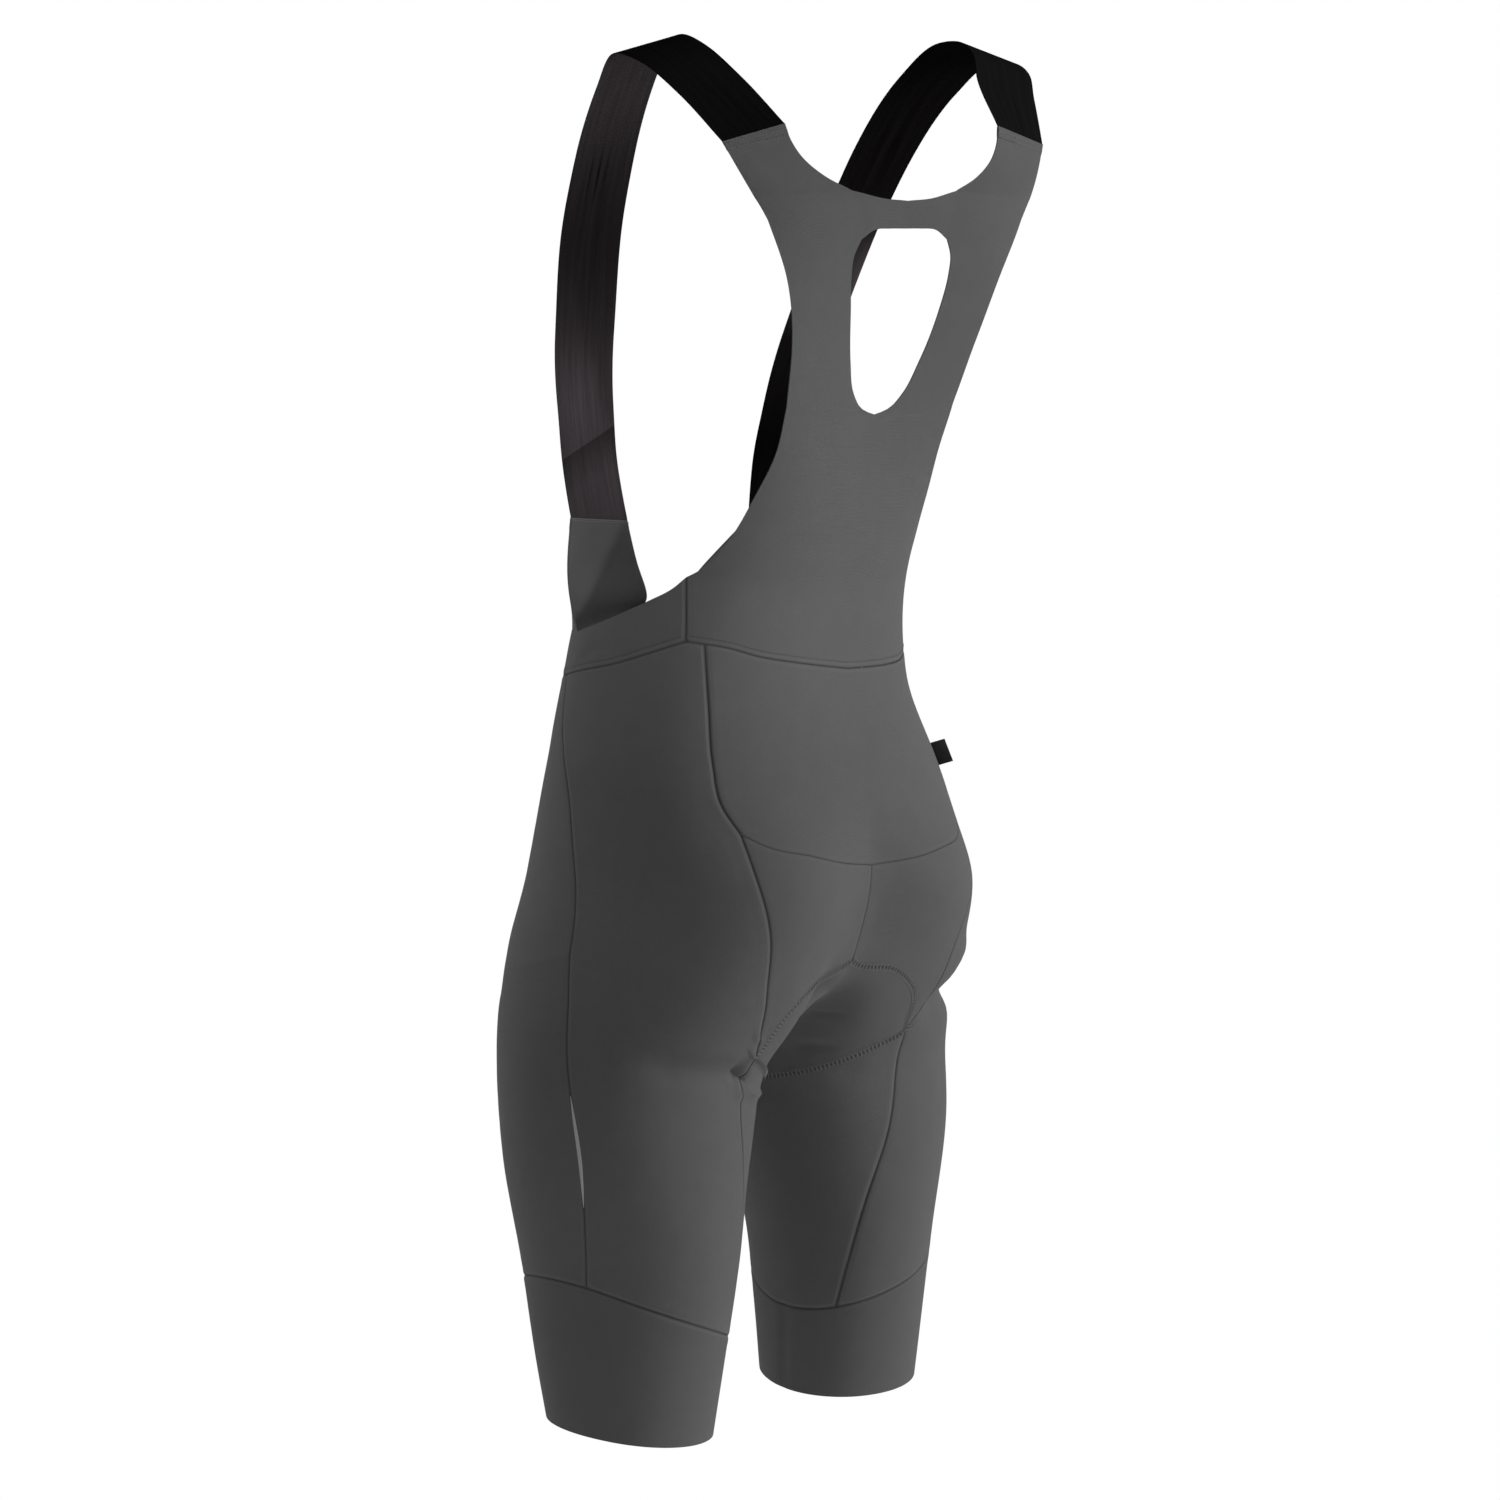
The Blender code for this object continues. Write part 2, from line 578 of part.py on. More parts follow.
def bib_back_grid(s):
    """The left half of the back bib, from the waist up to the strap's end."""
    n = CELLS
    waist = trunk_place(on_leg(joined(s.waist_back, s.waist_notch)))
    waist[0, 0] = 0
    inner = joined(
        curve((waist[0], BACK_MIDDLE, KEYHOLE[0]), n["bib_side"] + n["armhole"]),
        curve(KEYHOLE, n["keyhole"]),
        curve((KEYHOLE[-1], NECK_BACK[0]), n["bridge"]),
        curve(NECK_BACK, n["neck"]),
    )
    low, high = ARMHOLE_AT_KEYHOLE, ARMHOLE_AT_BRIDGE
    outer = joined(
        curve((waist[-1], BIB_SIDE_TOP), n["bib_side"]),
        curve(ARMHOLE_BACK[: low + 1], n["armhole"]),
        curve(ARMHOLE_BACK[low : high + 1], n["keyhole"] + n["bridge"]),
        curve(ARMHOLE_BACK[high:], n["neck"]),
    )
    columns = len(waist)
    head = curve((inner[-1], outer[-1]), columns - 1)
    grid = patch(waist, head, inner, outer)
    points = on_trunk(grid)
    points[0] = on_leg(joined(s.waist_back, s.waist_notch))
    points[:, 0, 0] = np.where(grid[:, 0, 0] == 0, 0, points[:, 0, 0])
    end = straight(STRAP_BACK[1], STRAP_BACK[0], columns - 1)
    pull = np.linspace(0, 1, n["neck"] + 1)[1:, None, None] ** 2
    points[-n["neck"] :] += pull * (end - points[-1])[None]
    return points


def bib_front_grids(s):
    """The left half of the front bib: a low band round the waist, and the tab to the strap."""
    n = CELLS
    waist_points = on_leg(joined(s.waist_side, s.waist_front))
    waist = trunk_place(waist_points)
    waist[-1, 0] = 180
    waist[:, 0] = np.where(waist[:, 0] < 0, waist[:, 0] + 360, waist[:, 0])
    fold = curve(TAB_FOLD, n["waist_front"])
    head = joined(curve(ARMHOLE_FRONT, n["waist_side"]), fold)
    side = curve((waist[0], BIB_SIDE_TOP), n["bib_side"])
    centre = curve((waist[-1], TAB_FOLD[-1]), n["bib_side"])
    band = on_trunk(patch(waist, head, side, centre))
    band[0] = waist_points
    band[:, -1, 0] = 0
    foot = band[-1, n["waist_side"] :]
    top = straight(*STRAP_FRONT, n["waist_front"])
    arm_edge = curve((foot[0], *TAB_ARM_EDGE, STRAP_FRONT[0]), n["tab"])
    neck_edge = curve((foot[-1], *TAB_NECK_EDGE, STRAP_FRONT[1]), n["tab"])
    return [band, patch(foot, top, arm_edge, neck_edge)]


def strap_grid():
    """The left strap, from its front end over the shoulder to its back end."""
    front, back = np.array(STRAP_FRONT), np.array(STRAP_BACK)
    line = dict(zip(STRAP_LINE_COLUMNS, np.array(STRAP_LINE).T))
    middle = np.stack([line["x"], line["y"], line["z"]], -1)
    flat = 0 * line["x"]
    half = np.stack([flat + STRAP_WIDTH / 2, flat, -line["fall"] / 2], -1)
    arm = np.concatenate([front[:1], middle + half, back[:1]])
    neck = np.concatenate([front[1:], middle - half, back[1:]])
    arm, neck = curve(arm, CELLS["strap"]), curve(neck, CELLS["strap"])
    u = np.linspace(0, 1, STRAP_COLUMNS + 1)[None, :, None]
    return (1 - u) * arm[:, None] + u * neck[:, None]


def label_grid(s):
    """The small folded label that stands out of the right lumbar seam."""
    seam = mirrored(on_leg(s.lumbar_side)[:, None])[:, 0]
    place = np.array([np.interp(LABEL_Z, seam[::-1, 2], column[::-1]) for column in seam.T])
    above = np.argmax(seam[:, 2] < LABEL_Z) - 1
    down = seam[above + 1] - seam[above]
    down /= np.linalg.norm(down)
    out = form_normals(place)
    along = np.linspace(-0.5, 0.5, 5)[:, None] * LABEL_LENGTH * down
    reach = np.linspace(LABEL_GAP, LABEL_REACH, 4)[:, None, None]
    thick = np.cross(down, out) * LABEL_WALL / 2
    return place + along[None] + reach * out + thick


def main():
    for obj in list(bpy.data.objects):
        bpy.data.objects.remove(obj)
    bpy.context.scene.collection.children.link(bpy.data.collections.new(COLLECTION))
    seams = Seams()
    half = shorts_grids(seams)
    lumbar = half["lumbar"] + [mirrored(g) for g in half["lumbar"]]
    cloth_piece("lumbar_panel", lumbar, CLOTH_FINISH, form_normals)
    gusset = gusset_grid(seams)
    cloth_piece("gusset", [gusset, mirrored(gusset)], CLOTH_FINISH, form_normals)
    band = band_grid(seams)
    for side, turn in (("left", lambda g: g), ("right", mirrored)):
        cloth_piece(f"seat_panel_{side}", [turn(g) for g in half["seat"]], CLOTH_FINISH, form_normals)
        cloth_piece(f"side_panel_{side}", [turn(g) for g in half["side"]], CLOTH_FINISH, form_normals)
        cloth_piece(f"front_panel_{side}", [turn(g) for g in half["front"]], CLOTH_FINISH, form_normals)
        cloth_piece(f"grip_band_{side}", [turn(band)], CLOTH_FINISH, form_normals)
        strap = [turn(strap_grid())]
        cloth_piece(f"strap_{side}", strap, STRAP_FINISH, sheet_normals(strap), gap=STRAP_GAP)
    back = bib_back_grid(seams)
    back = [back, mirrored(back)]
    cloth_piece("bib_back", back, CLOTH_FINISH, sheet_normals(back))
    front = bib_front_grids(seams)
    front = front + [mirrored(g) for g in front]
    cloth_piece("bib_front", front, CLOTH_FINISH, sheet_normals(front))
    label = [label_grid(seams)]
    cloth_piece("hip_label", label, LABEL_FINISH, sheet_normals(label), LABEL_WALL)


main()
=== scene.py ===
"""Cycling bib shorts: the cut cloth, its seams, stitches and trim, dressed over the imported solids.

Lengths are metres. The garment is drawn straight and symmetric, as a form with seams on it,
and every point then goes through WornForm.posed(), which gives the garment its stance. The
front faces -Y and the wearer's left is +X.
"""

from __future__ import annotations

import logging
from dataclasses import dataclass, field
from enum import Enum
from typing import Callable, Sequence

import bpy
import numpy as np
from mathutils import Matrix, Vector
from mathutils.kdtree import KDTree

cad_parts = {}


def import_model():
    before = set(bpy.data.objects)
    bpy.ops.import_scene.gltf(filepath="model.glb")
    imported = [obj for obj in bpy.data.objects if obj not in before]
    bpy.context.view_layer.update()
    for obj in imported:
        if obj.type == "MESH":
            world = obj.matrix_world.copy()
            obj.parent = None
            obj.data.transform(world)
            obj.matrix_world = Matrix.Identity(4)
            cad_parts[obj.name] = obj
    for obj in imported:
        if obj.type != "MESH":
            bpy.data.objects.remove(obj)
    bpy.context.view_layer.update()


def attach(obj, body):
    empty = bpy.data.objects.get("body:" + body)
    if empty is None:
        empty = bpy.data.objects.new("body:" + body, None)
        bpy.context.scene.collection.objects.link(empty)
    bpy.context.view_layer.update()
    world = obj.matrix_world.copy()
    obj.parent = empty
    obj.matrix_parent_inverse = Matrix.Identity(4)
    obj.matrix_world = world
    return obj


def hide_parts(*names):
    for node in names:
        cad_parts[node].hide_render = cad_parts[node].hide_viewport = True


Array = np.ndarray
LOG = logging.getLogger("bib_shorts")
CENTRE_BACK, CENTRE_FRONT = "centre back", "centre front"
DEGREE_LENGTH = 0.0016  # what one degree counts for along a line of angles and heights
FINE_SHARES = (0.16, 0.45)  # where the cell next to a seam is split
HALVINGS = 22
TINY = 1e-4


class Side(Enum):
    """A side of the wearer."""

    LEFT = 1
    RIGHT = -1


class Slot(Enum):
    """The record's material slots."""

    CLOTH = "main_cloth"
    BAND = "band_cloth"
    STRAP = "strap_elastic"
    LABEL = "label_tape"


# --------------------------------------------------------------------------------------
# The form under the cloth
# --------------------------------------------------------------------------------------
def row_values(table: Sequence[Sequence[float]], z: Array) -> Array:
    """Every column of a table at the heights z, through a smooth curve.

    Args:
        table: rows that start with the height they stand for.
        z: the heights that are asked for.

    Returns:
        The other columns at those heights, along the last axis.
    """
    rows = np.array(sorted(table))
    knots, values = rows[:, 0], rows[:, 1:]
    z = np.clip(z, knots[0], knots[-1])
    slopes = np.gradient(values, knots, axis=0)
    i = np.clip(np.searchsorted(knots, z) - 1, 0, len(knots) - 2)
    step = (knots[i + 1] - knots[i])[..., None]
    u = (z - knots[i])[..., None] / step
    return (
        (2 * u**3 - 3 * u**2 + 1) * values[i]
        + (u**3 - 2 * u**2 + u) * step * slopes[i]
        + (3 * u**2 - 2 * u**3) * values[i + 1]
        + (u**3 - u**2) * step * slopes[i + 1]
    )


def columns(table: Sequence[Sequence[float]], z: Array) -> Array:
    """The columns of a table at the heights z, one after another."""
    return np.moveaxis(row_values(table, z), -1, 0)


def smooth_max(a: Array, b: Array, width: float) -> Array:
    """The larger of two fields, rounded over a width."""
    h = np.clip(0.5 + 0.5 * (a - b) / width, 0, 1)
    return b * (1 - h) + a * h + width * h * (1 - h)


def ring_distance(x: Array, y: Array, half_width: Array, depth: Array, squareness: Array) -> Array:
    """How far a point lies outside a ring, measured from its centre.

    Args:
        x: how far the point is across from the centre.
        y: how far it is in depth from the centre.
        half_width: the ring's half width.
        depth: the ring's depth on the point's side.
        squareness: 2 for an ellipse, more for a squarer ring.

    Returns:
        The distance, below zero inside the ring.
    """
    far = np.hypot(x, y) + 1e-6
    across = np.abs(x / far / half_width) ** squareness
    deep = np.abs(y / far / depth) ** squareness
    return far - (across + deep) ** (-1 / squareness)


def unit(v: Array) -> Array:
    """Vectors at length one."""
    return v / np.maximum(np.linalg.norm(v, axis=-1, keepdims=True), 1e-12)


@dataclass(frozen=True)
class WornForm:
    """The shape that the worn cloth lies on, and the stance it is worn in."""

    # height, centre in depth, half width, depth in front, depth behind, squareness
    trunk: tuple = (
        (0.020, 0.000, 0.150, 0.078, 0.092, 2.8),
        (-0.050, 0.000, 0.152, 0.080, 0.096, 3.0),
        (-0.120, 0.000, 0.152, 0.083, 0.100, 3.2),
        (-0.220, 0.000, 0.148, 0.086, 0.100, 3.0),
        (-0.330, 0.000, 0.120, 0.090, 0.098, 2.2),
        (-0.430, -0.005, 0.125, 0.104, 0.099, 2.3),
        (-0.510, 0.003, 0.150, 0.112, 0.110, 2.4),
        (-0.570, 0.003, 0.152, 0.108, 0.107, 2.4),
        (-0.630, -0.010, 0.145, 0.108, 0.109, 2.4),
        (-0.700, 0.000, 0.140, 0.100, 0.096, 2.4),
    )
    # height, centre across, centre in depth, half width, half depth, turn in degrees
    leg: tuple = (
        (-0.500, 0.062, 0.003, 0.073, 0.094, 0.0),
        (-0.580, 0.073, 0.0075, 0.080, 0.1165, 0.0),
        (-0.640, 0.085, -0.011, 0.080, 0.1135, 0.0),
        (-0.700, 0.098, -0.018, 0.088, 0.092, 8.0),
        (-0.760, 0.108, -0.013, 0.078, 0.086, 12.0),
        (-0.840, 0.110, -0.008, 0.062, 0.076, 16.0),
        (-0.900, 0.110, -0.008, 0.058, 0.066, 20.0),
        (-0.990, 0.108, -0.008, 0.052, 0.050, 20.0),
    )
    # height, turn towards the left in degrees, lean backwards
    stance: tuple = (
        (0.100, 13.0, 0.072),
        (0.000, 13.0, 0.072),
        (-0.110, 13.0, 0.068),
        (-0.180, 12.0, 0.056),
        (-0.250, 9.5, 0.034),
        (-0.300, 6.5, 0.018),
        (-0.360, 2.5, 0.004),
        (-0.430, 0.0, 0.000),
        (-0.500, 0.0, 0.000),
    )
    leg_squareness: float = 2.1
    leg_top: float = -0.53
    leg_top_round: float = 0.05
    crotch_y: float = 0.015
    crotch_z: float = -0.690
    crotch_curve: float = 5.0
    crotch_round: float = 0.036
    hip_round: float = 0.044
    leg_meeting_round: float = 0.012
    cleft_centre: tuple = (0.0, 0.055, -0.672)
    cleft_spread: tuple = (0.022, 0.050, 0.036)
    cleft_depth: float = 0.018
    hip_lift: float = 0.09
    hip_lift_z: float = -0.46
    hip_lift_spread: float = 0.13
    origin: tuple = (-0.0013, 0.0684, -0.0080)

    def trunk_field(self, p: Array) -> Array:
        """The trunk's field.

        Args:
            p: points.

        Returns:
            The field at them, below zero inside.
        """
        centre, half_width, in_front, behind, squareness = columns(self.trunk, p[..., 2])
        y = p[..., 1] - centre
        wall = ring_distance(p[..., 0], y, half_width, np.where(y > 0, behind, in_front), squareness)
        floor = self.crotch_z + self.crotch_curve * (p[..., 1] - self.crotch_y) ** 2 - p[..., 2]
        return smooth_max(wall, floor, self.crotch_round)

    def leg_field(self, p: Array) -> Array:
        """The field of both legs.

        Args:
            p: points.

        Returns:
            The field at them, below zero inside.
        """
        centre_x, centre_y, half_width, half_depth, degrees = columns(self.leg, p[..., 2])
        x, y = np.hypot(p[..., 0], self.leg_meeting_round) - centre_x, p[..., 1] - centre_y
        turn = np.radians(degrees)
        across = x * np.cos(turn) + y * np.sin(turn)
        deep = y * np.cos(turn) - x * np.sin(turn)
        wall = ring_distance(across, deep, half_width, half_depth, self.leg_squareness)
        return smooth_max(wall, p[..., 2] - self.leg_top, self.leg_top_round)

    def field(self, p: Array) -> Array:
        """Below zero inside the garment, above zero outside."""
        cleft = self.cleft_depth * np.exp(-(((p - self.cleft_centre) / self.cleft_spread) ** 2).sum(-1))
        return cleft - smooth_max(-self.trunk_field(p), -self.leg_field(p), self.hip_round)

    def slope(self, p: Array) -> Array:
        """The field's gradient at the points."""
        axes = TINY * np.eye(3)
        return np.stack([self.field(p + a) - self.field(p - a) for a in axes], -1) / (2 * TINY)

    def normals(self, p: Array) -> Array:
        """The outward way at points of the form."""
        return unit(self.slope(p))

    def cast(self, start: Array, way: Array, reach: float = 0.25, steps: int = 60) -> Array:
        """Where rays from inside the form leave it.

        Args:
            start: where the rays start.
            way: their directions, at length one.
            reach: how far they look.
            steps: how many strides they take before the crossing is halved in on.

        Returns:
            The points where they cross the form.
        """
        start, way = np.broadcast_arrays(start, way)
        near, far = np.zeros(start.shape[:-1]), np.full(start.shape[:-1], reach)
        found = np.zeros(near.shape, bool)
        for t in np.linspace(0, reach, steps)[1:]:
            outside = self.field(start + way * t) > 0
            far = np.where(outside & ~found, t, far)
            found |= outside
            near = np.where(found, near, t)
        for _ in range(HALVINGS):
            middle = (near + far) / 2
            outside = self.field(start + way * middle[..., None]) > 0
            near, far = np.where(outside, near, middle), np.where(outside, middle, far)
        return start + way * middle[..., None]

    def settle(self, p: Array, rounds: int = 12) -> Array:
        """Moves points onto the form along its gradient.

        Args:
            p: points near the form.
            rounds: how many steps they take.

        Returns:
            The points on the form.
        """
        for _ in range(rounds):
            g = self.slope(p)
            p = p - self.field(p)[..., None] * g / np.maximum((g * g).sum(-1, keepdims=True), 0.2)
        return p

    def posed(self, p: Array) -> Array:
        """The stance: shoulders turned and leaning back, the left hip a little higher.

        Args:
            p: points of the straight, symmetric garment.

        Returns:
            The same points as the garment is worn, from the mount.
        """
        x, y, z = np.moveaxis(p, -1, 0)
        degrees, lean = columns(self.stance, z)
        turn = np.radians(degrees)
        lift = self.hip_lift * x * np.exp(-(((z - self.hip_lift_z) / self.hip_lift_spread) ** 2))
        across = x * np.cos(turn) + y * np.sin(turn)
        deep = y * np.cos(turn) - x * np.sin(turn) + lean
        return np.stack([across, deep, z + lift], -1) - self.origin

    def posed_way(self, p: Array, way: Array) -> Array:
        """Directions at points, carried through the stance."""
        return unit(self.posed(p + way * TINY) - self.posed(p))

    def around(self, x: Array, y: Array, grid: Array) -> Array:
        """Points of the form for angles and heights round an axis.

        Args:
            x: where the axis is across, at each height.
            y: where it is in depth.
            grid: angles from straight back in degrees, and heights.

        Returns:
            The points.
        """
        angle, z = np.radians(grid[..., 0]), grid[..., 1]
        return self.cast(np.stack([x, y, z], -1), np.stack([np.sin(angle), np.cos(angle), 0 * z], -1))

    def on_leg(self, grid: Array) -> Array:
        """Points of the form for angles and heights round the left leg's axis."""
        return self.around(*columns(self.leg, grid[..., 1])[:2], grid)

    def on_trunk(self, grid: Array) -> Array:
        """Points of the form for angles and heights round the trunk's axis."""
        return self.around(0 * grid[..., 1], 0 * grid[..., 1], grid)

    def leg_angle(self, angle: float | str, z: float) -> float:
        """The leg's angle for a place on a cut line.

        Args:
            angle: an angle in degrees, or the name of the centre back or front.
            z: the height.

        Returns:
            The angle in degrees.
        """
        if angle not in (CENTRE_BACK, CENTRE_FRONT):
            return float(angle)
        front = angle == CENTRE_FRONT
        centre_x, centre_y = row_values(self.leg, np.array([z]))[0, :2]
        wall = self.cast(np.array([0.0, 0.0, z]), np.array([0.0, -1.0 if front else 1.0, 0.0]))
        found = float(np.degrees(np.arctan2(-centre_x, wall[1] - centre_y)))
        return found + 360 if front else found


# --------------------------------------------------------------------------------------
# Curves and patches
# --------------------------------------------------------------------------------------
def line_scale(line: Array) -> Array:
    """What a line's columns are multiplied by to make lengths of them."""
    return np.array([DEGREE_LENGTH, 1.0]) if line.shape[1] == 2 else np.ones(3)


def lengths_along(line: Array) -> Array:
    """The length of a line up to each of its points."""
    return np.concatenate([[0], np.cumsum(np.linalg.norm(np.diff(line, axis=0), axis=1))])


def read_at(at: Array | float, along: Array, line: Array) -> Array:
    """A line's points at the given lengths, where along is the length at each point it has."""
    return np.stack([np.interp(at, along, column) for column in line.T], -1)


def even_curve(points: Sequence, cells: int, fine_ends: bool = True) -> Array:
    """Points on a smooth curve through the given ones, closer together at its ends.

    Args:
        points: rows of angle and height, or of three coordinates.
        cells: how many even stretches the curve has.
        fine_ends: whether the first and last stretch are split in three.

    Returns:
        The points, cells + 5 of them with fine ends and cells + 1 without.
    """
    rows = np.array(points, float)
    scale = line_scale(rows)
    knots = lengths_along(rows * scale)
    dense = row_values(np.column_stack([knots, rows]).tolist(), np.linspace(0, knots[-1], 40 * len(rows)))
    along = lengths_along(dense * scale)
    at = np.linspace(0, 1, cells + 1)
    if fine_ends:
        early = np.array(FINE_SHARES) / cells
        at = np.sort(np.concatenate([at, early, 1 - early]))
    return read_at(at * along[-1], along, dense)


def line_share(line: Array) -> Array:
    """How far along a line each of its points lies, from 0 to 1."""
    along = lengths_along(line * line_scale(line))
    return along / along[-1]


def patch(foot: Array, head: Array, first: Array, last: Array) -> Array:
    """A grid between four edges, blended from all of them.

    Args:
        foot: the lowest row, from first to last.
        head: the highest row, the same way.
        first: the first column, from foot to head.
        last: the last column, the same way.

    Returns:
        The grid, rows first.
    """
    u = ((line_share(foot) + line_share(head)) / 2)[None, :, None]
    v = ((line_share(first) + line_share(last)) / 2)[:, None, None]
    across = (1 - u) * first[:, None] + u * last[:, None]
    along = (1 - v) * foot[None] + v * head[None]
    low = (1 - u) * foot[0] + u * foot[-1]
    high = (1 - u) * head[0] + u * head[-1]
    return across + along - (1 - v) * low - v * high


def joined(*curves: Array) -> Array:
    """Curves that follow each other, without their doubled points."""
    return np.concatenate([curves[0]] + [c[1:] for c in curves[1:]])


def mirrored(grid: Array) -> Array:
    """The same grid on the other side, still facing outwards."""
    return (grid * [-1, 1, 1])[:, ::-1]


def tilted(angle: Array, low_angle: float, height: float, tilt: float) -> Array:
    """The height of a tilted ring at an angle."""
    return height - tilt * np.cos(np.radians(angle - low_angle))


@dataclass
class CutLines:
    """The seams and free edges of the left half, as angle and height round an axis."""

    form: WornForm
    fine: int = 4  # cells here for one of the solids'
    waist_back_rows: tuple = (
        (CENTRE_BACK, -0.427), (-10, -0.424), (8, -0.421), (24, -0.416), (37, -0.414),
    )
    waist_notch_rows: tuple = ((37, -0.414), (48, -0.413))
    waist_side_rows: tuple = ((48, -0.413), (70, -0.422), (98, -0.432), (122, -0.438), (142, -0.443))
    waist_front_rows: tuple = ((142, -0.443), (175, -0.447), (CENTRE_FRONT, -0.448))
    lumbar_side_rows: tuple = ((37, -0.414), (37, -0.455), (37, -0.492), (34, -0.519), (27, -0.537))
    lumbar_foot_rows: tuple = (
        (CENTRE_BACK, -0.560), (-15, -0.556), (1, -0.550), (16, -0.545), (27, -0.537),
    )
    seat_side_rows: tuple = (
        (27, -0.537), (21, -0.568), (11, -0.608), (3, -0.647), (-2, -0.668), (-9, -0.688),
    )
    seat_foot_rows: tuple = (
        (CENTRE_BACK, -0.628), (-36, -0.631), (-22, -0.637), (-12, -0.655), (-9, -0.688),
    )
    leg_back_rows: tuple = (
        (-9, -0.688), (-12, -0.712), (-21, -0.758), (-34, -0.808), (-44, -0.855), (-51, -0.8896),
    )
    side_upper_rows: tuple = ((142, -0.443), (127, -0.476), (109, -0.517), (102, -0.560), (94, -0.619))
    side_lower_rows: tuple = ((94, -0.619), (82, -0.667), (73, -0.709), (69, -0.763), (75, -0.8415))
    front_fold_rows: tuple = ((94, -0.619), (150, -0.640), (CENTRE_FRONT, -0.640))
    gusset_foot_rows: tuple = (
        (351, -0.688), (338, -0.697), (322, -0.7070), (306, -0.7145), (288, -0.7200),
        (270, -0.7185), (253, -0.7055), (240, -0.682), (CENTRE_FRONT, -0.640),
    )
    # the angle of a ring's lowest point, its middle height, and its tilt
    band_ring: tuple = (-80.0, -0.866, 0.027)
    hem_ring: tuple = (-40.0, -0.950, 0.007)
    band_back_angle: float = -51.0
    band_outer_angle: float = 75.0
    side_top: tuple = (67.0, -0.367)
    armhole_back_rows: tuple = (
        (67.0, -0.367), (61, -0.360), (51.6, -0.3360), (45.4, -0.3120), (39, -0.279), (37.5, -0.247),
        (39, -0.207), (43, -0.163), (49.5, -0.124), (56.5, -0.093), (61, -0.072),
    )
    armhole_low: int = 5  # its rows where the cells change size
    armhole_high: int = 8
    keyhole_rows: tuple = (
        (0, -0.253), (7, -0.249), (12, -0.239), (16.5, -0.217), (20.5, -0.182), (22, -0.160),
        (21.8, -0.147), (19.5, -0.1365), (14.5, -0.1305), (7, -0.1295), (0, -0.1295),
    )
    keyhole_corner: int = 7  # its row in the upper corner
    back_middle: tuple = (0, -0.340)
    neck_rows: tuple = (
        (0, -0.111), (11, -0.109), (22, -0.103), (31, -0.093), (37, -0.081), (40, -0.068), (41, -0.056),
    )
    neck_over_corner: int = 2
    armhole_front_rows: tuple = (
        (67.0, -0.367), (72, -0.376), (80, -0.385), (92, -0.396), (106, -0.406), (118, -0.412),
    )
    tab_fold_rows: tuple = ((118, -0.412), (150, -0.408), (180, -0.398))

    def __post_init__(self) -> None:
        """Samples every line once, so that the pieces on both sides of it agree."""
        self.waist_back = self.leg_line(self.waist_back_rows, 8)
        self.waist_notch = self.leg_line(self.waist_notch_rows, 1)
        self.waist_side = self.leg_line(self.waist_side_rows, 12)
        self.waist_front = self.leg_line(self.waist_front_rows, 8)
        self.lumbar_side = self.leg_line(self.lumbar_side_rows, 7)
        self.lumbar_foot = self.leg_line(self.lumbar_foot_rows, 8)
        self.seat_side = self.leg_line(self.seat_side_rows, 9)
        self.seat_foot = self.leg_line(self.seat_foot_rows, 8)
        self.leg_back = self.leg_line(self.leg_back_rows, 10)
        self.leg_back[-1] = self.band_back_angle, self.band_height(self.band_back_angle)
        self.side_upper = joined(
            *(self.leg_line(rows, n) for rows, n in self.split(self.side_upper_rows, 7, 9))
        )
        self.side_lower = self.leg_line(self.side_lower_rows, 10)
        self.side_lower[-1] = self.band_outer_angle, self.band_height(self.band_outer_angle)
        self.gusset_foot = self.leg_line(self.gusset_foot_rows, 9)
        self.front_fold = self.leg_line(self.front_fold_rows, 8)
        self.lumbar_centre = self.centre_line(CENTRE_BACK, (-0.427, -0.560), 7)
        self.centre_back = self.centre_line(CENTRE_BACK, (-0.560, -0.628), 9)
        self.centre_front = joined(
            self.centre_line(CENTRE_FRONT, (-0.448, -0.532), 7),
            self.centre_line(CENTRE_FRONT, (-0.532, -0.640), 9),
        )

    def split(self, rows: tuple, low: int, high: int) -> tuple:
        """Splits a line in two.

        Args:
            rows: the whole line's rows.
            low: the cells that its first part has in the solids.
            high: the cells of the second part.

        Returns:
            Each part's rows and cells.
        """
        whole = even_curve([(self.form.leg_angle(a, z), z) for a, z in rows], low + high, False)
        return ((whole[: low + 1], low), (whole[low:], high))

    def leg_line(self, rows: Sequence, cells: int) -> Array:
        """A line round the leg's axis, with this file's finer cells."""
        return even_curve([(self.form.leg_angle(a, z), z) for a, z in rows], cells * self.fine)

    def centre_line(self, name: str, ends: tuple, cells: int) -> Array:
        """A line in the middle of the garment between two heights."""
        points = even_curve([(0.0, ends[0]), (0.0, sum(ends) / 2), (0.0, ends[1])], cells * self.fine)
        return np.array([(self.form.leg_angle(name, z), z) for z in points[:, 1]])

    def band_height(self, angle: Array) -> Array:
        """The height of the band's seam at an angle of the leg."""
        return tilted(angle, *self.band_ring)

    def band_line(self, counts: Sequence[int], first: float, last: float) -> Array:
        """The band's seam between two angles.

        Args:
            counts: the cells of each stretch.
            first: the angle that it starts at.
            last: the angle that it ends at.

        Returns:
            The line's angles and heights.
        """
        total, lines = sum(counts), []
        for done, count in zip(np.cumsum([0, *counts]), counts):
            low = first + (last - first) * done / total
            high = first + (last - first) * (done + count) / total
            angles = even_curve([(low, 0.0), ((low + high) / 2, 0.0), (high, 0.0)], count * self.fine)[:, 0]
            lines.append(np.stack([angles, self.band_height(angles)], -1))
        return joined(*lines)


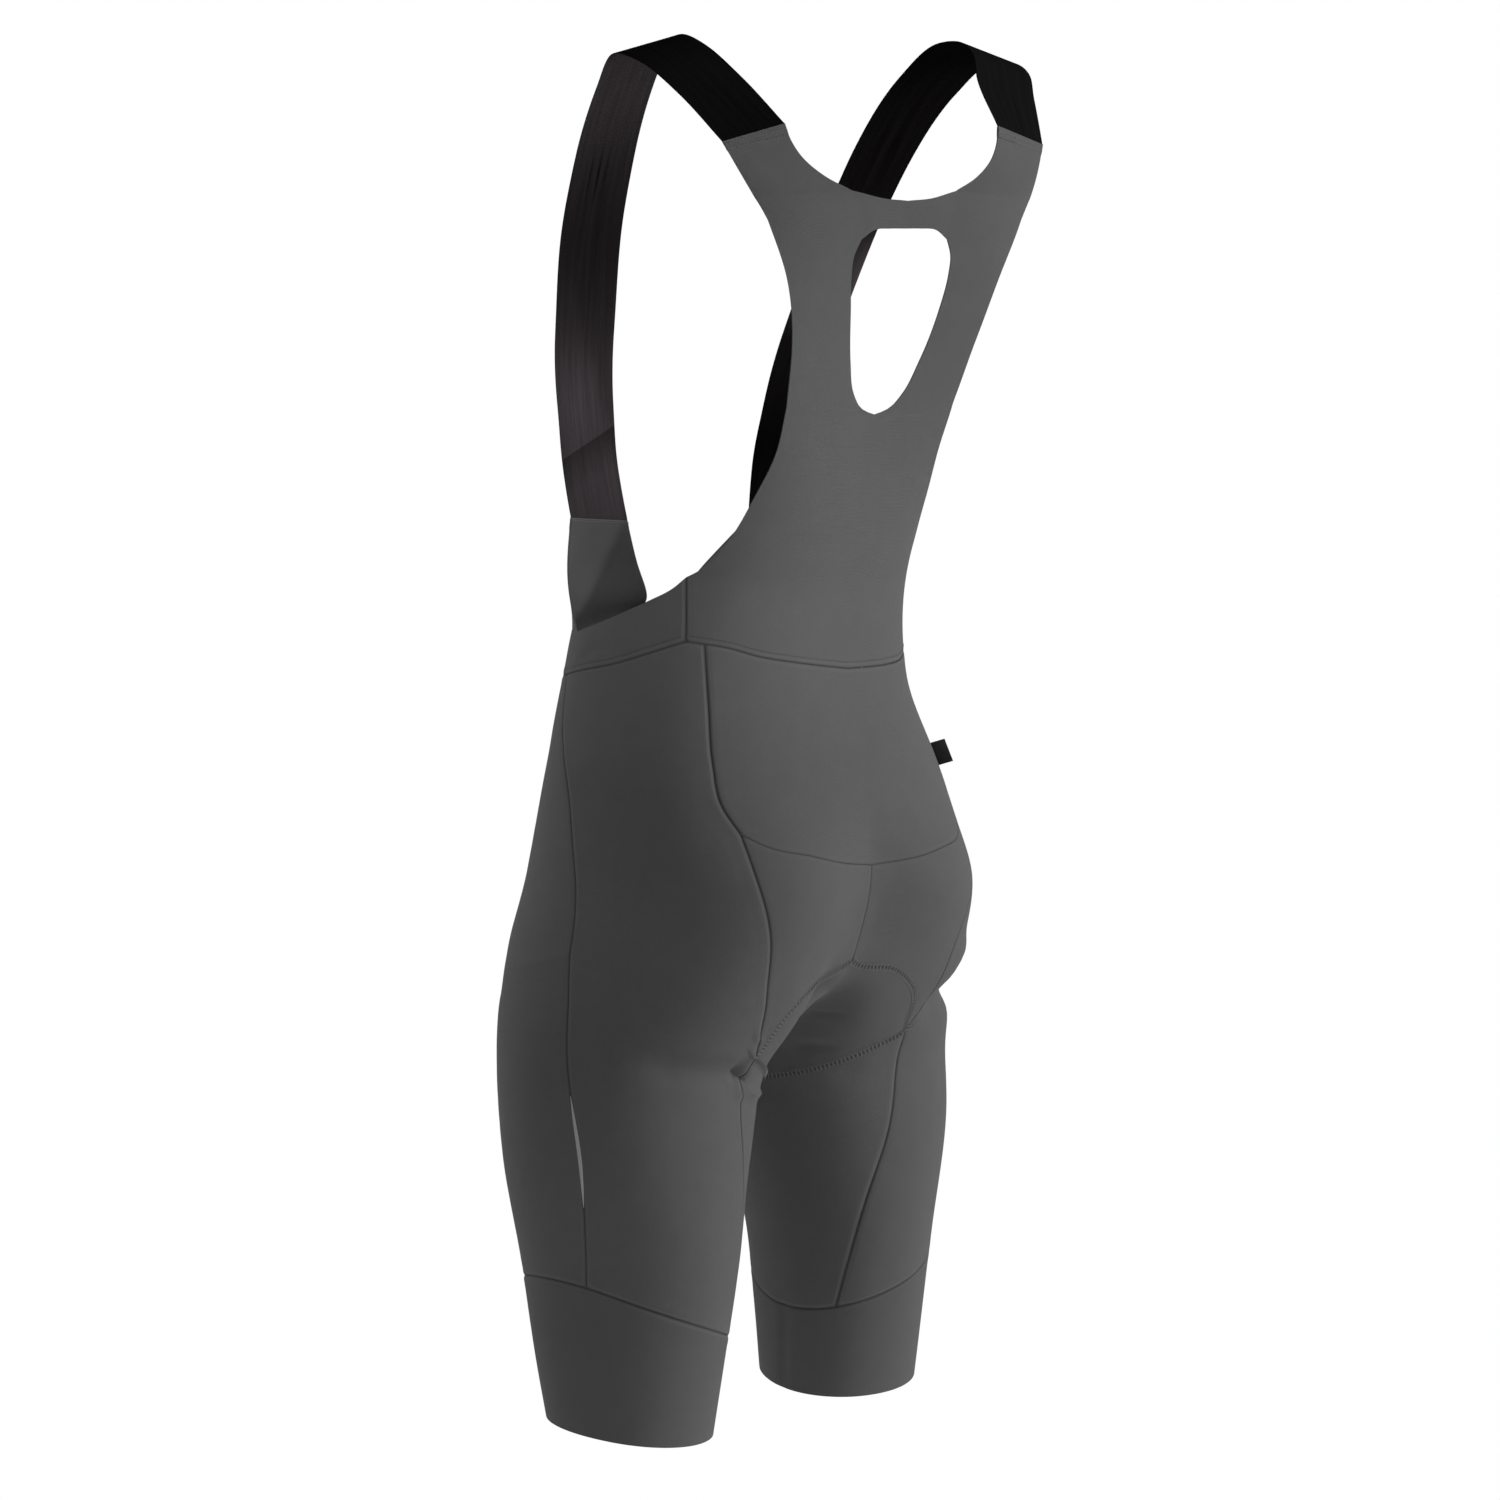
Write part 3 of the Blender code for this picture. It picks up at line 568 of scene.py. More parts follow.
# --------------------------------------------------------------------------------------
# Nodes and materials
# --------------------------------------------------------------------------------------
def plug(tree: bpy.types.NodeTree, place: bpy.types.NodeSocket, value: object) -> None:
    """Gives an input its link or its value.

    Args:
        tree: the tree that the input is in.
        place: the input.
        value: a wire, a socket or a node, whose first output is linked, or a plain value.
    """
    source = value.outputs[0] if isinstance(value, bpy.types.Node) else getattr(value, "socket", value)
    if isinstance(source, bpy.types.NodeSocket):
        tree.links.new(source, place)
    else:
        place.default_value = source


def add_node(tree: bpy.types.NodeTree, kind: str, settings: dict, inputs: dict) -> bpy.types.Node:
    """A node of any kind in any tree.

    Args:
        tree: the tree that it goes into.
        kind: its type.
        settings: its properties, set first.
        inputs: values or links by an input's name or number.

    Returns:
        The node.
    """
    node = tree.nodes.new(kind)
    for name, value in settings.items():
        setattr(node, name, value)
    for name, value in inputs.items():
        plug(tree, node.inputs[name], value)
    return node


class Wire:
    """A shader socket that adds Math nodes when it is used in an expression."""

    def __init__(self, tree: bpy.types.NodeTree, socket: bpy.types.NodeSocket) -> None:
        """Keeps the socket and the tree that it is in."""
        self.tree, self.socket = tree, socket

    def math(self, operation: str, *others: "Wire | float") -> "Wire":
        """A Math node.

        Args:
            operation: what it does.
            others: what it takes after this wire.

        Returns:
            Its result.
        """
        inputs = dict(enumerate((self, *others)))
        node = add_node(self.tree, "ShaderNodeMath", {"operation": operation}, inputs)
        return Wire(self.tree, node.outputs[0])

    def __add__(self, other: "Wire | float") -> "Wire":
        """This plus other."""
        return self.math("ADD", other)

    __radd__ = __add__

    def __sub__(self, other: "Wire | float") -> "Wire":
        """This minus other."""
        return self.math("SUBTRACT", other)

    def __rsub__(self, other: float) -> "Wire":
        """Other minus this."""
        return self.math("MULTIPLY", -1.0) + other

    def __mul__(self, other: "Wire | float") -> "Wire":
        """This times other."""
        return self.math("MULTIPLY", other)

    __rmul__ = __mul__

    def __truediv__(self, other: "Wire | float") -> "Wire":
        """This over other."""
        return self.math("DIVIDE", other)

    def bell(self, centre: float, width: float) -> "Wire":
        """A soft bump over this wire's values.

        Args:
            centre: where it is one.
            width: how far from there it has fallen to zero.

        Returns:
            The bump.
        """
        away = (self - centre).math("ABSOLUTE") / width
        near = (1 - away).math("MAXIMUM", 0.0)
        return near * near * (3 - 2 * near)


class Board:
    """The node tree of one material."""

    def __init__(self, name: str) -> None:
        """Makes the material with its Principled shader.

        Args:
            name: the material's name.
        """
        self.material = bpy.data.materials.new(name)
        self.material.use_nodes = True
        self.tree = self.material.node_tree
        self.shader = self.tree.nodes["Principled BSDF"]

    def wire(self, kind: str, output: str | int, settings: dict, inputs: dict) -> Wire:
        """An output of a new node.

        Args:
            kind: the node's type.
            output: the output's name or number.
            settings: the node's properties.
            inputs: values or wires by an input's name or number.

        Returns:
            The wire from it.
        """
        return Wire(self.tree, add_node(self.tree, kind, settings, inputs).outputs[output])

    def attribute(self, name: str) -> Wire:
        """A number that the mesh keeps at its points."""
        return self.wire("ShaderNodeAttribute", "Fac", {"attribute_name": name}, {})

    def cloth_place(self) -> tuple[Wire, Wire]:
        """Across and along the cloth in metres, from its own map."""
        place = self.wire("ShaderNodeUVMap", "UV", {"uv_map": "cloth"}, {})
        split = add_node(self.tree, "ShaderNodeSeparateXYZ", {}, {0: place})
        return Wire(self.tree, split.outputs["X"]), Wire(self.tree, split.outputs["Y"])

    def noise(self, scale: float, detail: float = 2.0) -> Wire:
        """Noise over the object's own coordinates.

        Args:
            scale: how many clouds a metre has.
            detail: how many finer layers they have.

        Returns:
            The noise, about 0.5.
        """
        place = self.wire("ShaderNodeTexCoord", "Object", {}, {})
        inputs = {"Vector": place, "Scale": scale, "Detail": detail}
        return self.wire("ShaderNodeTexNoise", "Fac", {}, inputs)

    def mix(self, factor: Wire | float, a: Wire | tuple, b: Wire | tuple, blend: str = "MIX") -> Wire:
        """Colour a, turning to b with the factor, or blended with it in another way."""
        settings = {"data_type": "RGBA", "blend_type": blend}
        return self.wire("ShaderNodeMix", 2, settings, {0: factor, 6: a, 7: b})

    def times(self, a: Wire | tuple, b: Wire | tuple) -> Wire:
        """Two colours multiplied."""
        return self.mix(1.0, a, b, "MULTIPLY")

    def finish(self, colour: Wire, height: Wire, depth: float, plain: dict) -> bpy.types.Material:
        """Plugs the shader together.

        Args:
            colour: the base colour.
            height: the relief, from 0 to 1.
            depth: how high a relief of 1 is.
            plain: values that are the same all over, by socket name.

        Returns:
            The material.
        """
        bump = self.wire("ShaderNodeBump", 0, {}, {"Strength": 1.0, "Distance": depth, "Height": height})
        for name, value in {"Base Color": colour, "Normal": bump, **plain}.items():
            plug(self.tree, self.shader.inputs[name], value)
        return self.material


def grey(value: float, warmth: float = 0.0) -> tuple[float, float, float, float]:
    """A grey with a little more red and blue than green as it warms."""
    return (value * (1 + warmth), value, value * (1 + warmth * 0.6), 1.0)


@dataclass(frozen=True)
class KnitFinish:
    """Fine stretch knit: small loops, a heathered tone, painted shade where it dives into a seam and a
    painted highlight beside the seam.
    """

    name: str
    colour: tuple
    inside: tuple
    gauge: float = 0.00075
    course_ratio: float = 1.25  # a loop's height over its width
    loop_depth: float = 0.00012
    heather: float = 0.10
    roughness: float = 0.78
    # painted shade in every seam and a painted highlight beside it: how far from the seam each stripe lies,
    # its width and its strength
    painted_shade: tuple = (0.0, 0.0013, 0.62)
    painted_highlight: tuple = (0.0022, 0.0011, 0.08)
    painted_shade_colour: tuple = grey(0.012)

    @staticmethod
    def painted_seam_stripe(board: Board, centre: float, width: float, strength: float) -> Wire:
        """A painted stripe along every seam, as strong as the seam is deep: the painted shade in it and the
        painted highlight beside it.
        """
        return board.attribute("seam").bell(centre, width) * board.attribute("seam_depth") * strength

    def build(self) -> bpy.types.Material:
        """The material."""
        board = Board(self.name)
        across, along = board.cloth_place()
        wale = (across * (2 * np.pi / self.gauge)).math("SINE")
        lean = wale.math("ABSOLUTE") * 1.2
        course = (along * (2 * np.pi / (self.gauge * self.course_ratio)) + lean).math("SINE")
        loops = (wale.math("ABSOLUTE") * 0.6 + course * 0.25) + 0.3
        fine, cloudy = board.noise(1400.0) - 0.5, board.noise(60.0, 4.0) - 0.5
        tone = fine * self.heather + cloudy * (self.heather * 0.7) + (loops - 0.6) * 0.05
        # painted highlight beside every seam, lifting the tone
        tone = (tone + self.painted_seam_stripe(board, *self.painted_highlight) + 0.5).math("MINIMUM", 1.0)
        base = board.mix(board.attribute("inside"), self.colour, self.inside)
        base = board.times(base, board.mix(tone, grey(0.0), grey(2.0)))
        # painted shade in every seam, mixed towards a near-black colour
        base = board.mix(self.painted_seam_stripe(board, *self.painted_shade), base, self.painted_shade_colour)
        plain = {"Roughness": self.roughness, "Specular IOR Level": 0.12}
        plain |= {"Sheen Weight": 0.05, "Sheen Roughness": 0.5}
        return board.finish(base, loops, self.loop_depth, plain)


@dataclass(frozen=True)
class ElasticFinish:
    """Woven elastic strap: fine lengthwise ribs, near black outside, brushed and softer inside.

    Each patch of painted light on the inner face, or of painted shade where its last number is below zero, is
    a place along and across the strap, a half length, a half width and how much lighter it is, below zero for
    darker.
    """

    name: str
    colour: tuple
    inside: tuple
    painted_light_patches: tuple = ()
    fold: tuple = ()  # where a fold crosses the middle, its slant, and how far the painted shade under it reaches
    rib: float = 0.0011
    pick: float = 0.0009
    streaks: tuple = (380.0, 14.0)  # how many a metre has across and along
    streak_strength: float = 0.34
    speckle_strength: float = 0.25
    relief: float = 0.00015
    roughness: float = 0.62

    def painted_inside_light(self, across: Wire, along: Wire) -> Wire | float:
        """How light the inner face is, from its patches of painted light and shade and the painted shadow
        under the fold.

        Args:
            across: the place across the strap.
            along: the place along it.

        Returns:
            The lightness, one where no light or shade is painted.
        """
        inner = 1.0
        for place, middle, length, width, lighter in self.painted_light_patches:
            inner = inner + along.bell(place, length) * across.bell(middle, width) * lighter
        # painted shadow under the fold across the strap
        if self.fold:
            place, slant, reach = self.fold
            under = (across * slant + place - along) / reach
            painted_shade = (1 - under).math("MAXIMUM", 0.0) * under.math("GREATER_THAN", 0.0)
            inner = inner * (1 - painted_shade.math("MINIMUM", 1.0) * 0.5)
        return inner

    def build(self) -> bpy.types.Material:
        """The material."""
        board = Board(self.name)
        across, along = board.cloth_place()
        ribs = (across * (2 * np.pi / self.rib)).math("SINE") * 0.35
        picks = (along * (2 * np.pi / self.pick) + ribs * 4.0).math("SINE") * 0.15
        inputs = {"X": across * self.streaks[0], "Y": along * self.streaks[1]}
        inputs = {"Vector": board.wire("ShaderNodeCombineXYZ", 0, {}, inputs), "Scale": 1.0, "Detail": 3.0}
        streak = board.wire("ShaderNodeTexNoise", "Fac", {"noise_dimensions": "2D"}, inputs)
        tone = (streak - 0.5) * self.streak_strength + (board.noise(1500.0) - 0.5) * self.speckle_strength
        # the inner colour, scaled by its painted light and shade
        painted_inside_light = board.mix(self.painted_inside_light(across, along) * 0.1, grey(0.0), grey(10.0))
        base = board.mix(board.attribute("inside"), self.colour, board.times(painted_inside_light, self.inside))
        base = board.times(base, board.mix((tone + 0.5).math("MAXIMUM", 0.0), grey(0.0), grey(2.0)))
        plain = {"Roughness": self.roughness, "Specular IOR Level": 0.0}
        return board.finish(base, ribs + picks + 0.5, self.relief, plain)


@dataclass(frozen=True)
class ThreadFinish:
    """Spun sewing thread with its twist, or a plain trim with a little grain."""

    name: str
    colour: tuple
    roughness: float = 0.6
    metallic: float = 0.0
    grain: float = 0.3
    relief: float = 0.00008

    def build(self) -> bpy.types.Material:
        """The material."""
        board = Board(self.name)
        speckle = board.noise(2600.0, 1.0)
        dark = tuple(c * (1 - self.grain) for c in self.colour[:3]) + (1.0,)
        plain = {"Roughness": self.roughness, "Metallic": self.metallic, "Specular IOR Level": 0.3}
        return board.finish(board.mix(speckle, dark, self.colour), speckle, self.relief, plain)


@dataclass(frozen=True)
class Finishes:
    """Every finish of the garment."""

    cloth: bpy.types.Material
    band: bpy.types.Material
    strap_left: bpy.types.Material
    strap_right: bpy.types.Material
    thread: bpy.types.Material
    pale_thread: bpy.types.Material
    piping: bpy.types.Material
    tape: bpy.types.Material

    @classmethod
    def build(cls) -> "Finishes":
        """All of them, ready for use."""
        # The two straps are one elastic: their outer and inner colours differ only by painted light and
        # shade, the near left strap's inner face lighter as if lit, and their patches and fold are painted
        # light and shadow.
        strap_left = ElasticFinish(
            "strap_elastic_left", grey(0.0045, 0.05), grey(0.027, 0.16),
            painted_light_patches=(
                (0.205, 0.0, 0.13, 0.2, -0.55), (0.10, -0.008, 0.05, 0.02, 0.3),
                (0.255, -0.0095, 0.028, 0.0018, -0.3), (0.255, -0.003, 0.034, 0.0022, -0.5),
                (0.258, 0.003, 0.026, 0.0018, -0.3),
            ),
            fold=(0.061, 0.61, 0.030),
        )
        strap_right = ElasticFinish(
            "strap_elastic_right", grey(0.0062, 0.05), grey(0.0042, 0.14),
            painted_light_patches=(
                (0.178, 0.032, 0.050, 0.046, 9.0), (0.165, -0.022, 0.032, 0.040, 2.2),
                (0.05, 0.0, 0.085, 0.2, -0.6),
            ),
        )
        return cls(
            cloth=KnitFinish("stretch_knit", grey(0.074), grey(0.070)).build(),
            band=KnitFinish("band_knit", grey(0.072), grey(0.060), gauge=0.0006, heather=0.07).build(),
            strap_left=strap_left.build(),
            strap_right=strap_right.build(),
            thread=ThreadFinish("sewing_thread", grey(0.036)).build(),
            pale_thread=ThreadFinish("pale_thread", grey(0.120)).build(),
            piping=ThreadFinish("reflective_piping", grey(0.30), 0.35, 0.2, 0.15).build(),
            tape=ThreadFinish("label_tape", grey(0.008)).build(),
        )


# --------------------------------------------------------------------------------------
# Cloth
# --------------------------------------------------------------------------------------
def linked(name: str, data: bpy.types.ID) -> bpy.types.Object:
    """A new object in the scene.

    Args:
        name: its name.
        data: its mesh, camera or lamp.

    Returns:
        The object.
    """
    made = bpy.data.objects.new(name, data)
    bpy.context.scene.collection.objects.link(made)
    return made


def riding(piece: bpy.types.Object) -> None:
    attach(piece, "root")


@dataclass(frozen=True)
class Crease:
    """A soft trough, or with a negative depth a ridge, along a line on the form."""

    side: Side
    path: tuple  # angles and heights that it runs through
    width: float
    depth: float
    round_trunk: bool = False  # its angles turn round the trunk's axis, not the leg's


@dataclass
class Relief:
    """How far the cloth lies above or below its form: seams dive, creases wander."""

    form: WornForm
    creases: Sequence[Crease]
    dive: float = 0.0007
    dive_width: float = 0.0011
    crown: float = 0.00025
    crown_at: float = 0.0032
    crown_width: float = 0.0020
    crease_cells: int = 48

    def __post_init__(self) -> None:
        """Places every crease on the form."""
        self.lines = []
        for crease in self.creases:
            place = self.form.on_trunk if crease.round_trunk else self.form.on_leg
            points = place(even_curve(crease.path, self.crease_cells, False))
            self.lines.append((points * [crease.side.value, 1, 1], crease))

    def height(self, points: Array, seam: Array, depth: Array) -> Array:
        """The height over the form.

        Args:
            points: points of the form.
            seam: how far each one is from the nearest seam.
            depth: how deep that seam looks.

        Returns:
            How far the cloth lies above each point, below zero under it.
        """
        lift = -self.dive * depth * np.exp(-((seam / self.dive_width) ** 2))
        lift += self.crown * depth * np.exp(-(((seam - self.crown_at) / self.crown_width) ** 2))
        for line, crease in self.lines:
            reach = np.ptp(line, axis=0).max() + 4 * crease.width
            box = np.abs(points - line.mean(axis=0)).max(axis=-1) < reach
            if not box.any():
                continue
            gaps = np.linalg.norm(points[box][:, None] - line[None], axis=-1)
            along = gaps.argmin(axis=1) / (len(line) - 1)
            taper = np.minimum(1.5 * np.sin(np.pi * np.clip(along * 0.92 + 0.04, 0, 1)), 1.0)
            lift[box] -= crease.depth * taper * np.exp(-((gaps.min(axis=1) / crease.width) ** 2))
        return lift


class SeamBook:
    """Every seam in place, so that a point's distance to the nearest one can be read."""

    # how deep each seam looks, 1 for a plain overlocked one and less for flat ones
    DEPTHS = {
        "waist_back": 0.60, "waist_notch": 0.60, "waist_side": 0.60, "waist_front": 0.60,
        "lumbar_side": 1.0, "lumbar_foot": 0.40, "centre_back": 0.40, "seat_side": 0.85,
        "seat_foot": 0.34, "gusset_foot": 0.36, "leg_back": 0.90, "side": 0.60,
        "centre_front": 0.50, "band": 0.80, "bib_side": 0.90, "strap_front": 0.0, "strap_back": 0.0,
    }

    SPACING = 0.0004  # between the points that stand for a seam
    FAR = 0.05  # the distance where there is no seam

    def __init__(self) -> None:
        """Starts with no seams."""
        self.lines = {}

    def add(self, name: str, line: Array) -> None:
        """Adds a seam of unposed points, on both sides of the garment."""
        self.lines[name] = line

    def nearest(self, points: Array, names: Sequence[str]) -> tuple[Array, Array]:
        """Reads the seams at points.

        Args:
            points: the points.
            names: the seams that count.

        Returns:
            The distance to the nearest of them, and that seam's depth.
        """
        if not names:
            return np.full(len(points), self.FAR), np.zeros(len(points))
        lines, depths = [], []
        for name in names:
            along = lengths_along(self.lines[name])
            at = np.linspace(0, along[-1], max(2, int(along[-1] / self.SPACING)))
            dense = read_at(at, along, self.lines[name])
            lines += [dense, dense * [-1, 1, 1]]
            depths += [self.DEPTHS[name]] * (2 * len(dense))
        every = np.concatenate(lines)
        tree = KDTree(len(every))
        for i, p in enumerate(every):
            tree.insert(p, i)
        tree.balance()
        found = [tree.find(p)[1:] for p in points]
        return np.array([far for _, far in found]), np.array(depths)[[i for i, _ in found]]


@dataclass
class ClothPiece:
    """One cut piece of cloth as a closed thin wall, from grids on its outer face."""

    name: str
    node: str
    grids: list
    slot: Slot
    flat: tuple
    seams: Sequence[str]
    wall: float = 0.0010
    on_form: bool = True
    gap: float = 0.00012
    stretch: float = 1.15
    sink: float = 0.0
    fold: tuple | None = None  # a seam, how far the cloth is folded back from it, and how thick
    extra: Callable[[Array], Array] | None = None  # a further lift of its own
    sharp: float = 60.0  # degrees

    def weld(self) -> None:
        """Joins the grids into points, cells and cloth places."""
        places, cells, maps, start = [], [], [], 0
        for grid in self.grids:
            index = np.arange(grid[..., 0].size).reshape(grid.shape[:2]) + start
            start += index.size
            places.append(grid.reshape(-1, 3))
            corners = (index[:-1, :-1], index[:-1, 1:], index[1:, 1:], index[1:, :-1])
            cells.append(np.stack(corners, -1).reshape(-1, 4))
            maps.append(self.cloth_map(grid))
        raw, cells = np.concatenate(places), np.concatenate(cells)
        keys = np.round(raw * 1e5).astype(int)
        _, first, back = np.unique(keys, axis=0, return_index=True, return_inverse=True)
        self.points, self.cells = raw[first], back.reshape(-1)[cells]
        self.cell_maps = np.concatenate(maps)[cells]

    @staticmethod
    def cloth_map(grid: Array) -> Array:
        """Lays a grid out flat.

        Args:
            grid: the grid, rows first.

        Returns:
            Across and along the cloth in metres, for every point.
        """
        across = np.linalg.norm(np.diff(grid, axis=1), axis=-1)
        along = np.linalg.norm(np.diff(grid, axis=0), axis=-1)
        u = np.concatenate([np.zeros((len(grid), 1)), np.cumsum(across, axis=1)], axis=1)
        v = np.concatenate([np.zeros((1, grid.shape[1])), np.cumsum(along, axis=0)], axis=0)
        middle = u[:, u.shape[1] // 2][:, None]
        return np.stack([u - middle, v], -1).reshape(-1, 2)

    def rim(self) -> Array:
        """The sheet's rim, as directed edges that have a cell on one side only."""
        rolled = np.roll(self.cells, -1, axis=1)
        edges = np.stack([self.cells, rolled], -1).reshape(-1, 2)
        edges = edges[edges[:, 0] != edges[:, 1]]
        size = len(self.points)
        forward, backward = edges[:, 0] * size + edges[:, 1], edges[:, 1] * size + edges[:, 0]
        return edges[~np.isin(forward, backward)]

    def sheet_normals(self) -> Array:
        """Outward ways of the sheet itself, averaged at its points."""
        a, b, c, d = (self.points[self.cells[:, k]] for k in range(4))
        ways = np.cross(c - a, b - a) + np.cross(d - a, c - a)
        total = np.zeros_like(self.points)
        for k in range(4):
            np.add.at(total, self.cells[:, k], ways)
        return unit(total)

    def drawn_in(self, rim: Array) -> Array:
        """Makes room for the seams.

        Args:
            rim: the sheet's rim, as directed edges.

        Returns:
            The points, with those of the rim moved inwards along the cloth.
        """
        centre = np.zeros_like(self.points)
        count = np.zeros(len(self.points))
        middles = self.points[self.cells].mean(axis=1)
        for k in range(4):
            np.add.at(centre, self.cells[:, k], middles)
            np.add.at(count, self.cells[:, k], 1)
        centre /= np.maximum(count, 1)[:, None]
        push = np.zeros_like(self.points)
        for a, b in rim:
            side = unit(self.points[b] - self.points[a])
            for v in (a, b):
                way = centre[v] - self.points[v]
                push[v] += unit(way - side * (way @ side)) / 2
        return self.points + push * self.gap

    def build(
        self, form: WornForm, book: SeamBook, relief: Relief, finish: bpy.types.Material
    ) -> bpy.types.Object:
        """Args:
            form: the form under the cloth.
            book: the seams in place.
            relief: what the cloth does over the form.
            finish: its material.

        Returns:
            The finished object, which stands for its node.
        """
        self.weld()
        rim = self.rim()
        ways = form.normals(self.points) if self.on_form else self.sheet_normals()
        seam, depth = book.nearest(self.points, self.seams)
        lift = relief.height(self.points, seam, depth) - self.sink
        if self.extra:
            lift = lift + self.extra(self.points)
        outer = self.drawn_in(rim) + ways * lift[:, None]
        inner = outer - ways * self.wall
        if self.fold:
            name, reach, thick = self.fold
            near = book.nearest(self.points, (name,))[0] < reach
            outer += ways * (near * thick / 2)[:, None]
            inner -= ways * (near * thick / 2)[:, None]
        count = len(outer)
        a, b = rim[:, 0], rim[:, 1]
        band = np.stack([b, a, a + count, b + count], -1)
        faces = np.concatenate([self.cells, self.cells[:, ::-1] + count, band])
        maps = self.cell_maps
        lookup = np.zeros((count, 2))
        lookup[self.cells.reshape(-1)] = maps.reshape(-1, 2)
        face_maps = np.concatenate([maps, maps[:, ::-1], lookup[np.stack([b, a, a, b], -1)]])
        mesh = self.mesh_of(form.posed(np.concatenate([outer, inner])), faces, face_maps)
        self.keep(mesh, "seam", np.concatenate([seam, seam]))
        self.keep(mesh, "seam_depth", np.concatenate([depth, depth]))
        self.keep(mesh, "inside", np.repeat([0.0, 1.0], count))
        mesh.materials.append(finish)
        piece = linked(self.name, mesh)
        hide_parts(self.node)
        riding(piece)
        area = sum(p.area for p in mesh.polygons) / 2 / self.stretch
        width, length = self.flat
        min(area, width * length)
        LOG.info("%s: %d faces, cut area %.4f m2", self.name, len(mesh.polygons), area)
        return piece

    def mesh_of(self, points: Array, faces: Array, maps: Array) -> bpy.types.Mesh:
        """The wall as a mesh, facing outwards.

        Args:
            points: its points in the stance.
            faces: four points each, where some may be one and the same.
            maps: the place on the cloth at every corner.

        Returns:
            The mesh with its cloth map, without doubled corners and empty faces.
        """
        mesh = bpy.data.meshes.new(self.name)
        solid, corners = [], []
        for face, places in zip(faces.tolist(), maps):
            kept = [n for n, v in enumerate(face) if v != face[n - 1]]
            if len({face[n] for n in kept}) > 2:
                solid.append([face[n] for n in kept])
                corners.append(places[kept])
        mesh.from_pydata(points.tolist(), [], solid)
        layer = mesh.uv_layers.new(name="cloth")
        layer.data.foreach_set("uv", np.concatenate(corners).astype(np.float32).reshape(-1))
        mesh.update()
        if self.volume(mesh) < 0:
            mesh.flip_normals()
        mesh.shade_smooth()
        mesh.set_sharp_from_angle(angle=np.radians(self.sharp))
        return mesh

    @staticmethod
    def volume(mesh: bpy.types.Mesh) -> float:
        """A closed mesh's volume.

        Args:
            mesh: the mesh.

        Returns:
            Its volume, below zero where it is inside out.
        """
        points = np.zeros(len(mesh.vertices) * 3, np.float32)
        mesh.vertices.foreach_get("co", points)
        mesh.calc_loop_triangles()
        corners = np.zeros(len(mesh.loop_triangles) * 3, np.int32)
        mesh.loop_triangles.foreach_get("vertices", corners)
        a, b, c = points.reshape(-1, 3).astype(float)[corners.reshape(-1, 3)].transpose(1, 0, 2)
        return float((a * np.cross(b, c)).sum() / 6)

    @staticmethod
    def keep(mesh: bpy.types.Mesh, name: str, values: Array) -> None:
        """Keeps a number at every point of the mesh."""
        mesh.attributes.new(name, "FLOAT", "POINT").data.foreach_set("value", values.astype(np.float32))


# --------------------------------------------------------------------------------------
# Stitches
# --------------------------------------------------------------------------------------
@dataclass(frozen=True)
class StitchSize:
    """How far apart stitches lie, how long they are and how thick their thread is."""

    pitch: float
    length: float
    radius: float


@dataclass
class StitchLine:
    """Stitches along a line on the cloth, in unposed points, on both sides of the garment."""

    form: WornForm
    line: Array
    offset: float = 0.0
    across: bool = False
    height: float = 0.0
    ways: Array | None = None  # the way out at each point, for a line that isn't on the form
    rounds: int = 4

    def places(self, pitch: float) -> tuple[Array, Array, Array]:
        """Where the stitches lie, in the stance.

        Args:
            pitch: how far apart they are.

        Returns:
            Their points, the ways they run and the ways out of the cloth.
        """
        along = lengths_along(self.line)
        at = np.arange(pitch / 2, along[-1], pitch)
        points = read_at(at, along, self.line)
        run = unit(np.gradient(points, axis=0))
        out = self.form.normals(points) if self.ways is None else unit(read_at(at, along, self.ways))
        side = unit(np.cross(run, out))
        points = points + side * self.offset
        if self.ways is None:
            points = self.form.settle(points, self.rounds)
            out = self.form.normals(points)
        points = points + out * self.height
        way = side if self.across else run
        points, way, out = (np.concatenate([v, v * [-1, 1, 1]]) for v in (points, way, out))
        return self.form.posed(points), self.form.posed_way(points, way), self.form.posed_way(points, out)


